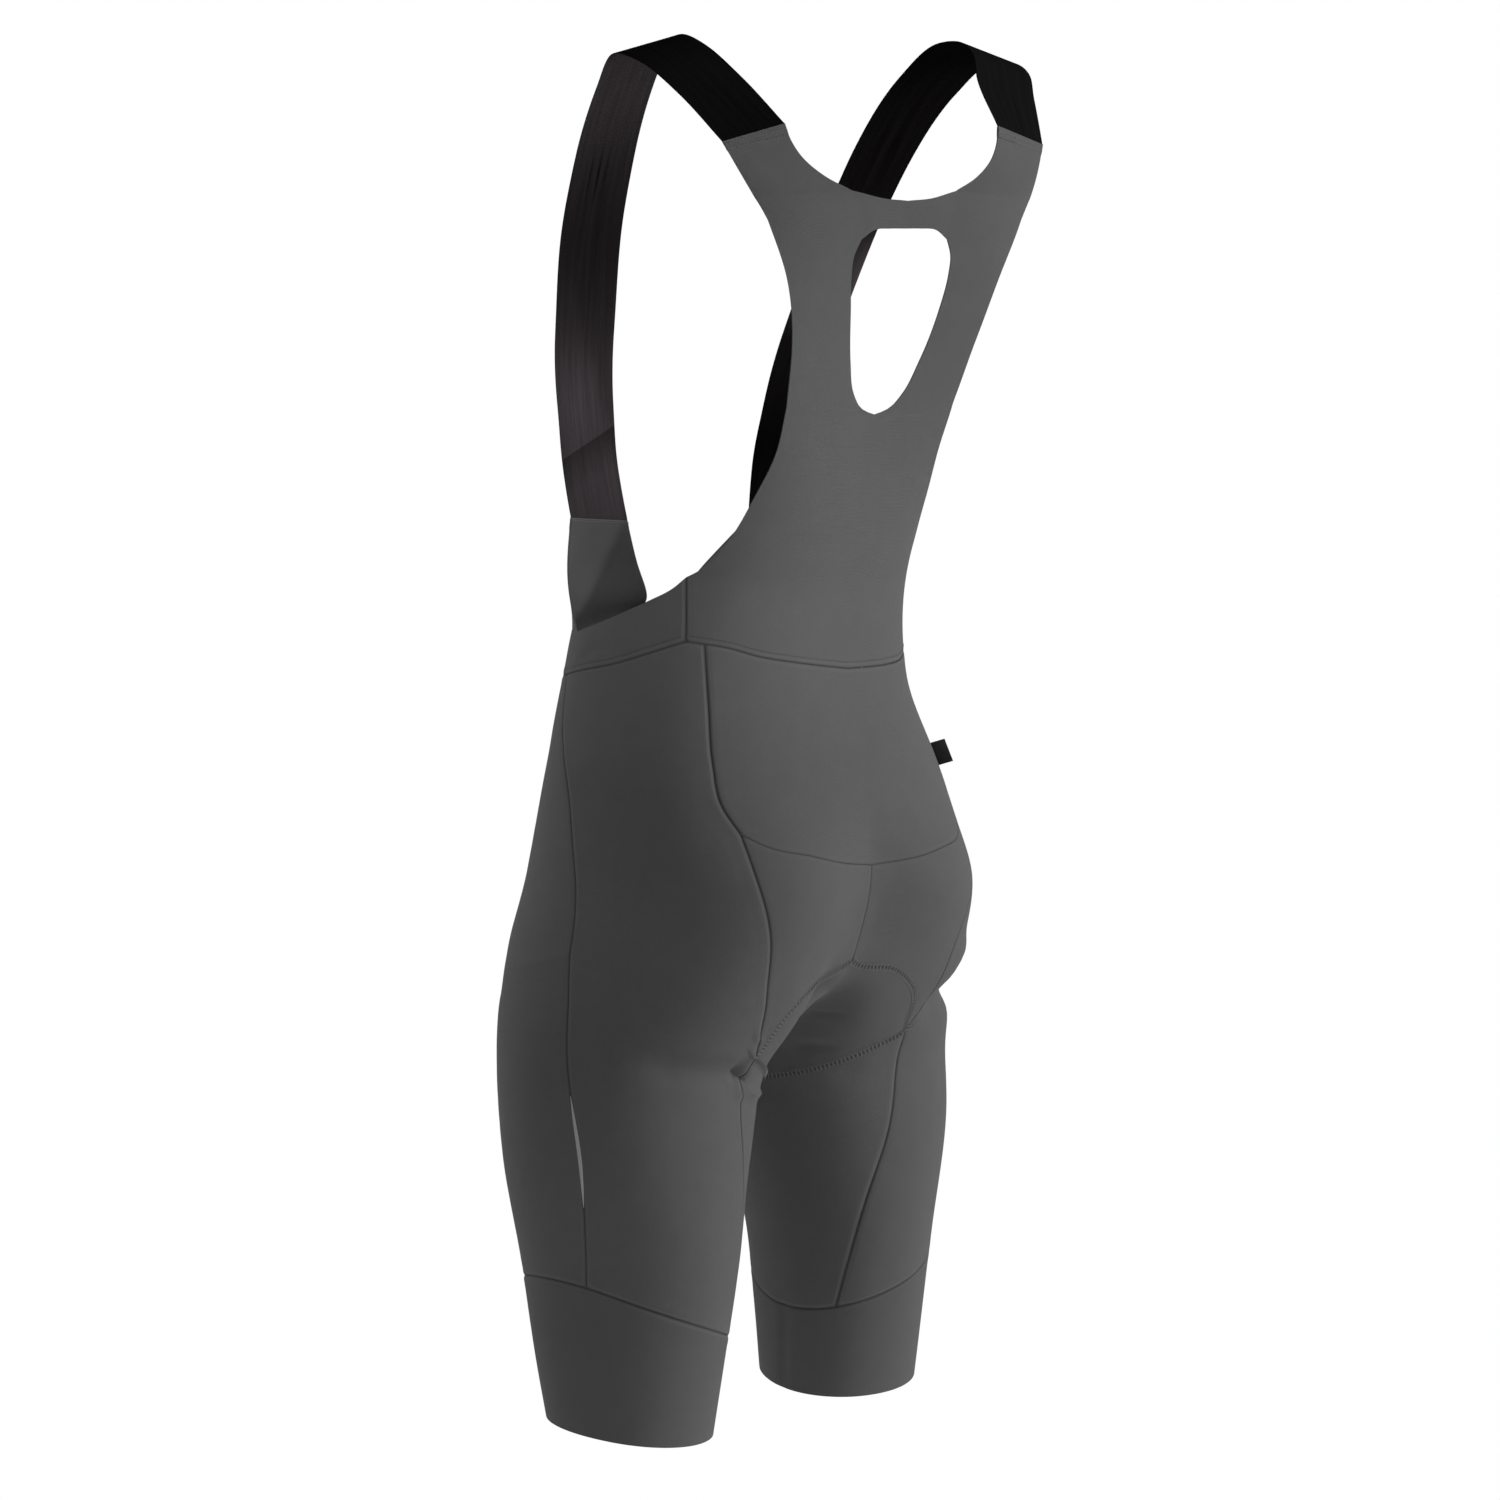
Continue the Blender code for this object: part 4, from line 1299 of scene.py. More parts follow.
@dataclass
class StitchTree:
    """Geometry Nodes that lay one stitch at each point, turned by the point's own ways."""

    material: bpy.types.Material
    inputs: dict = field(default_factory=dict)
    flatness: float = 0.6
    facets: int = 6

    def __post_init__(self) -> None:
        """Builds the tree once."""
        self.tree = tree = bpy.data.node_groups.new("stitches", "GeometryNodeTree")
        face = tree.interface
        face.new_socket("Points", in_out="INPUT", socket_type="NodeSocketGeometry")
        for name in ("Stitch length", "Thread radius"):
            socket = face.new_socket(name, in_out="INPUT", socket_type="NodeSocketFloat")
            self.inputs[name] = socket.identifier
        face.new_socket("Stitches", in_out="OUTPUT", socket_type="NodeSocketGeometry")
        given = add_node(tree, "NodeGroupInput", {}, {}).outputs
        times = {"operation": "MULTIPLY"}
        half = add_node(tree, "ShaderNodeMath", times, {0: given["Stitch length"], 1: 0.5})
        flat = add_node(tree, "ShaderNodeMath", times, {0: given["Thread radius"], 1: self.flatness})
        size = add_node(tree, "ShaderNodeCombineXYZ", {}, {"X": given["Thread radius"], "Y": flat, "Z": half})
        ball = {"Segments": self.facets, "Rings": self.facets, "Radius": 1.0}
        ball = add_node(tree, "GeometryNodeMeshUVSphere", {}, ball).outputs["Mesh"]
        shape = add_node(tree, "GeometryNodeTransform", {}, {"Geometry": ball, "Scale": size})
        ways = {}
        for place, name in enumerate(("along", "out")):
            read = {"data_type": "FLOAT_VECTOR"}
            read = add_node(tree, "GeometryNodeInputNamedAttribute", read, {"Name": name})
            ways[place] = read.outputs["Attribute"]
        axes = {"primary_axis": "Z", "secondary_axis": "Y"}
        turn = add_node(tree, "FunctionNodeAxesToRotation", axes, ways)
        laid = {"Points": given["Points"], "Instance": shape, "Rotation": turn}
        laid = add_node(tree, "GeometryNodeInstanceOnPoints", {}, laid)
        real = add_node(tree, "GeometryNodeRealizeInstances", {}, {0: laid})
        dress = add_node(tree, "GeometryNodeSetMaterial", {}, {0: real, "Material": self.material})
        add_node(tree, "NodeGroupOutput", {}, {0: dress})

    def sew(self, name: str, size: StitchSize, lines: Sequence[StitchLine]) -> None:
        """Lays stitches along lines and makes them one plain mesh.

        Args:
            name: the piece's name.
            size: how large the stitches are.
            lines: where they run.
        """
        points, along, out = (np.concatenate(v) for v in zip(*(line.places(size.pitch) for line in lines)))
        mesh = bpy.data.meshes.new(name)
        mesh.from_pydata(points.tolist(), [], [])
        for key, ways in (("along", along), ("out", out)):
            data = mesh.attributes.new(key, "FLOAT_VECTOR", "POINT").data
            data.foreach_set("vector", ways.astype(np.float32).reshape(-1))
        seed = linked(name + "_points", mesh)
        modifier = seed.modifiers.new("stitches", "NODES")
        modifier.node_group = self.tree
        modifier[self.inputs["Stitch length"]] = size.length
        modifier[self.inputs["Thread radius"]] = size.radius
        graph = bpy.context.evaluated_depsgraph_get()
        plain = bpy.data.meshes.new_from_object(seed.evaluated_get(graph))
        bpy.data.objects.remove(seed)
        plain.name = name
        plain.shade_smooth()
        riding(linked(name, plain))
        LOG.info("%s: %d stitches", name, len(points))


# --------------------------------------------------------------------------------------
# The garment
# --------------------------------------------------------------------------------------
@dataclass
class Shorts:
    """The shorts below the waist: lumbar, seat, side and front panels, gusset and grip bands."""

    form: WornForm
    lines: CutLines

    # how wide and long each piece's cut is
    CUTS = {
        "lumbar": (0.270, 0.150), "seat": (0.150, 0.155), "side": (0.270, 0.500),
        "front": (0.420, 0.470), "gusset": (0.170, 0.280), "band": (0.350, 0.120),
    }
    BORDERS = {
        "lumbar": ("waist_back", "lumbar_side", "lumbar_foot"),
        "gusset": ("seat_foot", "gusset_foot"),
        "seat": ("lumbar_foot", "seat_side", "centre_back", "seat_foot"),
        "side": ("waist_side", "waist_notch", "lumbar_side", "seat_side", "leg_back", "side", "band"),
        "front": ("waist_front", "side", "centre_front", "gusset_foot", "leg_back", "band"),
        "band": ("band",),
    }
    SEAMS = (
        "waist_back", "waist_notch", "waist_side", "waist_front", "lumbar_side", "lumbar_foot",
        "seat_side", "seat_foot", "leg_back", "centre_back", "centre_front", "gusset_foot",
    )

    def half(self) -> dict:
        """The grids of the left half, by piece, as angle and height on the leg's ring."""
        s = self.lines
        band_back = s.band_line((1, 12), s.band_back_angle, s.band_outer_angle)
        band_front = s.band_line((8, 9), s.band_outer_angle, s.band_back_angle + 360)
        lumbar = patch(s.lumbar_foot, s.waist_back, s.lumbar_centre[::-1], s.lumbar_side[::-1])
        seat = patch(s.seat_foot, s.lumbar_foot, s.centre_back[::-1], s.seat_side[::-1])
        side = patch(
            band_back,
            joined(s.waist_notch, s.waist_side),
            joined(s.lumbar_side, s.seat_side, s.leg_back)[::-1],
            joined(s.side_upper, s.side_lower)[::-1],
        )
        upper = patch(s.front_fold, s.waist_front, s.side_upper[::-1], s.centre_front[::-1])
        lower = patch(
            band_front,
            joined(s.front_fold, s.gusset_foot[::-1]),
            s.side_lower[::-1],
            (s.leg_back + [360.0, 0.0])[::-1],
        )
        seam = joined(band_back, band_front)
        hem = seam.copy()
        hem[:, 1] = tilted(seam[:, 0], *s.hem_ring)
        rise = even_curve([(0.0, 0.0), (0.0, 0.5), (0.0, 1.0)], 5 * s.fine)[:, 1][:, None, None]
        on = self.form.on_leg
        band = on((1 - rise) * hem[None] + rise * seam[None])
        band[:, -1] = band[:, 0]
        made = {"lumbar": [on(lumbar)], "seat": [on(seat)], "side": [on(side)]}
        return made | {"front": [on(upper), on(lower)], "band": [band], "gusset": [self.gusset_grid()]}

    def gusset_grid(self) -> Array:
        """The left half of the saddle between the legs, from its border to the middle."""
        s = self.lines
        border = self.form.on_leg(joined(s.seat_foot, s.gusset_foot))
        y = np.linspace(border[0, 1], border[-1, 1], 400)
        start = np.stack([0 * y, y, np.full_like(y, -0.50)], -1)
        middle = self.form.cast(start, np.array([0.0, 0.0, -1.0]), reach=0.3)
        ends = np.stack([border[0], border[-1]]) * [0, 1, 1]
        middle = np.concatenate([ends[:1], middle[1:-1], ends[1:]])
        along, share = lengths_along(middle), line_share(border)
        at = (share * 0.4 + np.linspace(0, 1, len(border)) * 0.6) * along[-1]
        middle = read_at(at, along, middle)
        count = 5 * s.fine
        u = np.sort(np.concatenate([np.linspace(0, 1, count + 1), np.array(FINE_SHARES) / count]))
        grid = (1 - u)[None, :, None] * border[:, None] + u[None, :, None] * middle[:, None]
        inside = self.form.settle(grid[1:-1, 1:])
        inside[:, -1, 0] = 0
        grid[1:-1, 1:] = inside
        return grid

    def pieces(self) -> list[ClothPiece]:
        """Every cut piece of the shorts."""
        half = self.half()
        made = []
        for key, node in (("lumbar", "lumbar_panel"), ("gusset", "gusset")):
            grids = half[key] + [mirrored(grid) for grid in half[key]]
            made.append(
                ClothPiece(f"{key}_cloth", node, grids, Slot.CLOTH, self.CUTS[key], self.BORDERS[key])
            )
        pairs = {"seat": "seat_panel", "side": "side_panel", "front": "front_panel", "band": "grip_band"}
        for side in Side:
            label = side.name.lower()
            for key, node in pairs.items():
                grids = half[key] if side is Side.LEFT else [mirrored(grid) for grid in half[key]]
                slot = Slot.BAND if key == "band" else Slot.CLOTH
                names = f"{key}_cloth_{label}", f"{node}_{label}"
                made.append(ClothPiece(*names, grids, slot, self.CUTS[key], self.BORDERS[key]))
        return made

    def record_seams(self, book: SeamBook) -> None:
        """Puts the seams of the shorts in the book.

        Args:
            book: the book.
        """
        s, on = self.lines, self.form.on_leg
        for name in self.SEAMS:
            book.add(name, on(getattr(s, name)))
        book.add("side", on(joined(s.side_upper, s.side_lower)))
        book.add("band", on(s.band_line((30,), s.band_back_angle, s.band_back_angle + 360)))


@dataclass
class Bib:
    """The bib above the waist: the cut-out back, the low front with its tabs, and the straps."""

    form: WornForm
    lines: CutLines
    strap_width: float = 0.049
    strap_wall: float = 0.0008
    strap_sink: float = 0.0001
    fold_reach: float = 0.008  # cloth folded over the strap's end
    fold_wall: float = 0.0008
    tongue_reach: tuple = (0.0010, 0.0030)
    strap_columns: int = 29
    strap_back: tuple = ((0.132, 0.072, -0.073), (0.088, 0.079, -0.061))
    strap_front: tuple = ((0.106, -0.073, -0.330), (0.058, -0.068, -0.332))
    # across, depth, height of the strap's middle, and the fall of its arm side
    strap_line: tuple = (
        (0.089, -0.0945, -0.272, -0.003),
        (0.098, -0.1155, -0.203, 0.000),
        (0.108, -0.1135, -0.138, 0.006),
        (0.117, -0.088, -0.075, 0.009),
        (0.126, -0.050, -0.030, 0.011),
        (0.134, -0.020, -0.009, 0.012),
        (0.138, 0.002, -0.009, 0.014),
        (0.134, 0.022, -0.017, 0.013),
        (0.123, 0.042, -0.035, 0.012),
    )
    pull_over_corner: float = 0.55  # how far the shoulder's rise has come over the keyhole's corner
    tab_arm: tuple = ((0.104, -0.071, -0.378),)
    tab_neck: tuple = ((0.014, -0.083, -0.387), (0.034, -0.076, -0.363))
    # each wrinkle of a strap: its place across, its width and its depth
    wrinkles: tuple = ((-0.009, 0.0022, 0.0011), (-0.002, 0.0030, -0.0008), (0.005, 0.0024, 0.0009))
    wrinkle_heights: tuple = (-0.118, -0.075)  # their middle, on the left and on the right
    wrinkle_length: float = 0.034
    wrinkle_shift: float = 0.006  # how much farther out they lie on the right
    wrinkle_middle: tuple = (0.113, 0.10, -0.10)  # across, its lean, and the height it counts from
    wrinkle_back: float = -0.02  # no wrinkle lies behind this depth

    BACK_CUT, FRONT_CUT, STRAP_LENGTH = (0.270, 0.360), (0.440, 0.120), 0.440

    @staticmethod
    def trunk_place(p: Array) -> Array:
        """The angle and height of points, round the trunk's axis."""
        return np.stack([np.degrees(np.arctan2(p[..., 0], p[..., 1])), p[..., 2]], -1)

    def back_grids(self) -> list[Array]:
        """The left half of the back bib: waist to strap end, and the bridge over the keyhole."""
        s, n = self.lines, self.lines.fine
        seam = self.form.on_leg(joined(s.waist_back, s.waist_notch))
        waist = self.trunk_place(seam)
        waist[0, 0] = 0
        key, neck = s.keyhole_corner, s.neck_over_corner
        corner, over = s.keyhole_rows[key], s.neck_rows[neck]
        rise = even_curve((corner, tuple((np.array(corner) + over) / 2), over), 3 * n, False)
        inner = joined(
            even_curve((waist[0], s.back_middle, s.keyhole_rows[0]), 11 * n, False),
            even_curve(s.keyhole_rows[: key + 1], 12 * n, False),
            rise,
            even_curve(s.neck_rows[neck:], 5 * n, False),
        )
        low, high, rows = s.armhole_low, s.armhole_high, s.armhole_back_rows
        outer = joined(
            even_curve((waist[-1], (waist[-1] + np.array(s.side_top)) / 2, s.side_top), 4 * n, False),
            even_curve(rows[: low + 1], 7 * n, False),
            even_curve(rows[low : high + 1], 13 * n, False),
            even_curve(rows[high:], 7 * n, False),
        )
        share = line_share(waist)[:, None]
        head = (1 - share) * inner[-1] + share * outer[-1]
        grid = patch(waist, head, inner, outer)
        main = self.form.on_trunk(grid)
        main[0] = seam
        main[:, 0, 0] = np.where(grid[:, 0, 0] == 0, 0, main[:, 0, 0])
        end = (1 - share) * np.array(self.strap_back[1]) + share * np.array(self.strap_back[0])
        pull = np.zeros(len(inner))
        pull[-5 * n - 1 :] = np.linspace(self.pull_over_corner, 1, 5 * n + 1)
        climb = line_share(rise)
        pull[-8 * n - 1 : -5 * n] = self.pull_over_corner * climb**2
        offset = end - main[-1]
        main += (pull**2)[:, None, None] * offset[None]
        top = even_curve(s.keyhole_rows[key:], 6 * n, False)
        edge = even_curve(s.neck_rows[: neck + 1], 6 * n, False)[::-1]
        middle = np.stack([np.zeros(3 * n + 1), top[-1, 1] + climb * (edge[-1, 1] - top[-1, 1])], -1)
        grid = patch(top, edge, rise, middle)
        bridge = self.form.on_trunk(grid)
        bridge[:, -1, 0] = 0
        fade = self.pull_over_corner * climb[:, None] ** 2 * (1 - line_share(edge))[None]
        bridge += (fade**2)[:, :, None] * offset[0]
        return [main, bridge[:, ::-1]]

    def front_grids(self) -> list[Array]:
        """The left half of the front bib: the band round the waist, and the tab to the strap."""
        s, n = self.lines, self.lines.fine
        seam = self.form.on_leg(joined(s.waist_side, s.waist_front))
        waist = self.trunk_place(seam)
        waist[-1, 0] = 180
        waist[:, 0] = np.where(waist[:, 0] < 0, waist[:, 0] + 360, waist[:, 0])
        head = joined(even_curve(s.armhole_front_rows, 12 * n), even_curve(s.tab_fold_rows, 8 * n))
        side = even_curve((waist[0], (waist[0] + np.array(s.side_top)) / 2, s.side_top), 4 * n, False)
        end = np.array(s.tab_fold_rows[-1])
        centre = even_curve((waist[-1], (waist[-1] + end) / 2, end), 4 * n, False)
        band = self.form.on_trunk(patch(waist, head, side, centre))
        band[0] = seam
        band[:, -1, 0] = 0
        foot = band[-1, 12 * n + 4 :]
        across = line_share(foot)[:, None]
        top = (1 - across) * np.array(self.strap_front[0]) + across * np.array(self.strap_front[1])
        arm = even_curve((foot[0], *self.tab_arm, self.strap_front[0]), 6 * n)
        neck = even_curve((foot[-1], *self.tab_neck, self.strap_front[1]), 6 * n)
        return [band, patch(foot, top, arm, neck)]

    def strap_edges(self, cells: int) -> tuple[Array, Array]:
        """The edges of the left strap.

        Args:
            cells: how many even stretches they have.

        Returns:
            The arm side and the neck side, front end to back end.
        """
        front, back = np.array(self.strap_front), np.array(self.strap_back)
        rows = np.array(self.strap_line)
        zero = np.zeros(len(rows))
        half = np.column_stack([zero + self.strap_width / 2, zero, -rows[:, 3] / 2])
        arm = np.concatenate([front[:1], rows[:, :3] + half, back[:1]])
        neck = np.concatenate([front[1:], rows[:, :3] - half, back[1:]])
        return even_curve(arm, cells), even_curve(neck, cells)

    def strap_grid(self) -> Array:
        """The left strap, from inside the front tab over the shoulder to inside the back bib."""
        arm, neck = self.strap_edges(32 * self.lines.fine)
        u = np.linspace(0, 1, self.strap_columns)
        strap = (1 - u)[None, :, None] * arm[:, None] + u[None, :, None] * neck[:, None]
        front = self.tongue(self.front_grids()[1], u)
        back = self.tongue(self.back_grids()[0][:, ::-1], u)
        return np.concatenate([front[::-1], strap, back])

    def tongue(self, cloth: Array, across: Array) -> Array:
        """Rows of the strap that run on under a piece's upper end.

        Args:
            cloth: the piece's grid.
            across: the shares of the strap's width that have a point.

        Returns:
            The rows, from the piece's edge inwards.
        """
        away = lengths_along(cloth[::-1].mean(axis=1))
        rows = []
        for reach in self.tongue_reach:
            place = np.interp(reach, away, np.arange(len(away)))
            low = int(place)
            row = cloth[-1 - low] + (place - low) * (cloth[-2 - low] - cloth[-1 - low])
            rows.append(read_at(across, line_share(row), row))
        return np.array(rows)

    def strap_lift(self, points: Array) -> Array:
        """Lengthwise wrinkles on a strap's front run, different on each side.

        Args:
            points: points of the strap before the stance.

        Returns:
            How far they lift it.
        """
        x, z, left = np.abs(points[:, 0]), points[:, 2], points[:, 0] > 0
        away = (z - np.where(left, *self.wrinkle_heights)) / self.wrinkle_length
        start, lean, height = self.wrinkle_middle
        middle = start + lean * (z - height) + np.where(left, 0.0, self.wrinkle_shift)
        wave = sum(
            depth * np.exp(-(((x - middle - place) / width) ** 2)) for place, width, depth in self.wrinkles
        )
        return -wave * np.exp(-(away**2)) * (points[:, 1] < self.wrinkle_back)

    def pieces(self) -> list[ClothPiece]:
        """Every cut piece of the bib and the straps."""
        back_seams = ("waist_back", "waist_notch", "bib_side", "strap_back")
        front_seams = ("waist_side", "waist_front", "bib_side", "strap_front")
        made = []
        for end, half, cut, seams in (
            ("back", self.back_grids(), self.BACK_CUT, back_seams),
            ("front", self.front_grids(), self.FRONT_CUT, front_seams),
        ):
            grids = half + [mirrored(grid) for grid in half]
            fold = (f"strap_{end}", self.fold_reach, self.fold_wall)
            names = f"{end}_bib_cloth", f"bib_{end}"
            made.append(ClothPiece(*names, grids, Slot.CLOTH, cut, seams, on_form=False, fold=fold))
        strap = self.strap_grid()
        for side in Side:
            grids = [strap if side is Side.LEFT else mirrored(strap)]
            label = side.name.lower()
            made.append(
                ClothPiece(
                    f"strap_webbing_{label}", f"strap_{label}", grids, Slot.STRAP,
                    (self.strap_width, self.STRAP_LENGTH), (), wall=self.strap_wall, on_form=False,
                    extra=self.strap_lift, sink=self.strap_sink,
                )
            )
        return made

    def record_seams(self, book: SeamBook) -> None:
        """Puts the seams of the bib in the book.

        Args:
            book: the book.
        """
        front = self.front_grids()[0]
        book.add("bib_side", front[:, 0])
        for name, ends in (("strap_front", self.strap_front), ("strap_back", self.strap_back)):
            book.add(name, np.linspace(ends[0], ends[1], 9))


@dataclass
class Sewing:
    """All stitching: covered waist seam, laddered gusset seam, and the rows at the strap ends."""

    form: WornForm
    book: SeamBook
    bib: Bib
    tree: StitchTree
    pale: StitchTree
    cover: StitchSize = StitchSize(0.0016, 0.0026, 0.00024)
    second: StitchSize = StitchSize(0.0026, 0.0021, 0.00022)
    rung: StitchSize = StitchSize(0.0030, 0.0050, 0.00050)
    rail: StitchSize = StitchSize(0.0019, 0.0017, 0.00024)
    end: StitchSize = StitchSize(0.0024, 0.0019, 0.00034)
    second_offset: float = 0.0042
    rail_offset: float = 0.0023
    end_rows: tuple = (0.0032, 0.0068)  # how far from the strap's end each one lies
    end_cells: int = 11  # the cells that a cell's mean height there is taken from
    end_lifts: tuple = ((1, 0.0005), (-1, 0.0015))  # out of the outer and the inner face

    def waist(self) -> None:
        """A covered seam round the waist and a second row under it."""
        names = ("waist_back", "waist_notch", "waist_side", "waist_front")
        whole = joined(*(self.book.lines[name] for name in names))
        rungs = StitchLine(self.form, whole, across=True, height=-0.0003)
        self.tree.sew("waist_cover_stitches", self.cover, [rungs])
        row = StitchLine(self.form, whole, self.second_offset, height=0.0002)
        self.tree.sew("waist_second_row", self.second, [row])

    def gusset(self) -> None:
        """Ladder stitches over the gusset's seams."""
        lines = [self.book.lines[name] for name in ("seat_foot", "gusset_foot")]
        rungs = [StitchLine(self.form, line, across=True, height=0.00005) for line in lines]
        rails = [
            StitchLine(self.form, line, offset, height=0.0002)
            for line in lines
            for offset in (-self.rail_offset, self.rail_offset)
        ]
        self.pale.sew("gusset_ladder_stitches", self.rung, rungs)
        self.pale.sew("gusset_edge_stitches", self.rail, rails)

    def strap_rows(self) -> None:
        """Twin rows across the cloth under each end of both straps."""
        lines = []
        for grid in (self.bib.back_grids()[0], self.bib.front_grids()[1]):
            reach = self.end_cells + 1
            height = np.linalg.norm(grid[-1] - grid[-reach], axis=-1).mean() / self.end_cells
            for away in self.end_rows:
                place = len(grid) - 1 - away / height
                low = int(place)
                row = grid[low] + (place - low) * (grid[low + 1] - grid[low])
                run, rise = unit(np.gradient(row, axis=0)), unit(grid[low + 1] - grid[low])
                out = unit(np.cross(rise, run))
                lines += [
                    StitchLine(self.form, row + out * face * lift, ways=out * face)
                    for face, lift in self.end_lifts
                ]
        self.pale.sew("strap_end_stitches", self.end, lines)


@dataclass
class Trim:
    """The folded hip label and the reflective piping in the side seams."""

    form: WornForm
    book: SeamBook
    finishes: Finishes
    sharp: float = 50.0  # degrees
    label_length: float = 0.017
    label_reach: float = 0.011
    label_root: float = 0.0006  # how far out of the seam its inner end lies
    label_wall: float = 0.0012
    label_z: float = -0.487
    label_rows: int = 15
    label_sway: float = 0.0007
    label_facets: int = 28
    piping_heights: tuple = (-0.784, -0.708)
    piping_rows: int = 60
    piping_columns: int = 9
    piping_half_width: float = 0.0014
    piping_crown: float = 0.0005
    piping_lift: float = 0.0001
    piping_root: float = 0.0009  # how far it reaches into the seam

    def add(self, name: str, rings: Array, finish: bpy.types.Material, slot: Slot) -> bpy.types.Object:
        """Makes a closed trim piece.

        Args:
            name: the piece's name.
            rings: rings of points one after another, before the stance.
            finish: its material.
            slot: not used.

        Returns:
            The finished object.
        """
        rows, ring = rings.shape[:2]
        faces = [
            [i * ring + j, i * ring + k, (i + 1) * ring + k, (i + 1) * ring + j]
            for i in range(rows - 1)
            for j, k in zip(range(ring), [*range(1, ring), 0])
        ]
        faces += [list(range(ring))[::-1], [(rows - 1) * ring + j for j in range(ring)]]
        mesh = bpy.data.meshes.new(name)
        mesh.from_pydata(self.form.posed(rings.reshape(-1, 3)).tolist(), [], faces)
        if ClothPiece.volume(mesh) < 0:
            mesh.flip_normals()
        mesh.shade_smooth()
        mesh.set_sharp_from_angle(angle=np.radians(self.sharp))
        mesh.materials.append(finish)
        piece = linked(name, mesh)
        riding(piece)
        LOG.info("%s: %d faces", name, len(faces))
        return piece

    @staticmethod
    def at_height(line: Array, z: Array | float) -> Array:
        """A seam's points at the heights z."""
        order = np.argsort(line[:, 2])
        return read_at(z, line[order, 2], line[order])

    def label(self) -> None:
        """A bare tape folded over and sewn into the right lumbar seam."""
        seam = self.book.lines["lumbar_side"] * [-1, 1, 1]
        place, lower = self.at_height(seam, self.label_z), self.at_height(seam, self.label_z - 0.004)
        down, out = unit(lower - place), self.form.normals(place)
        thick = unit(np.cross(down, out))
        turn = np.linspace(0, 2 * np.pi, self.label_facets + 1)[:-1]
        radius = self.label_wall / 2
        spine = np.where(np.cos(turn) > 0, self.label_reach - radius, self.label_root)
        profile_out = spine + radius * np.cos(turn) * 0.95
        profile_thick = radius * np.sin(turn)
        rings = []
        for row in np.linspace(-0.5, 0.5, self.label_rows):
            edge = 1 - 0.12 * (abs(row) * 2) ** 6
            sway = self.label_sway * np.sin(3 * row) * (profile_out / self.label_reach) ** 2
            rings.append(
                place
                + row * self.label_length * down
                + profile_out[:, None] * out * (0.97 + 0.03 * edge)
                + (profile_thick * edge + sway)[:, None] * thick
            )
        piece = self.add("hip_label_tape", np.stack(rings), self.finishes.tape, Slot.LABEL)
        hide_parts("hip_label")

    def piping(self) -> None:
        """A thin lens of reflective piping in each side seam."""
        heights = np.linspace(*self.piping_heights, self.piping_rows)
        centre = self.at_height(self.book.lines["side"], heights)
        out = self.form.normals(centre)
        side = unit(np.cross(unit(np.gradient(centre, axis=0)), out))
        bulge = np.sin(np.linspace(0, np.pi, self.piping_rows))[:, None] ** 0.7
        across = np.linspace(-1, 1, self.piping_columns)
        flat = [centre + side * self.piping_half_width * bulge * a for a in across]
        top = [
            row + out * (self.piping_crown * bulge * (1 - a * a) + self.piping_lift)
            for a, row in zip(across, flat)
        ]
        base = [row - out * self.piping_root for row in flat]
        for wearer in Side:
            rings = np.stack(top + base[::-1], 1) * [wearer.value, 1, 1]
            self.add(f"side_piping_{wearer.name.lower()}", rings, self.finishes.piping, Slot.CLOTH)


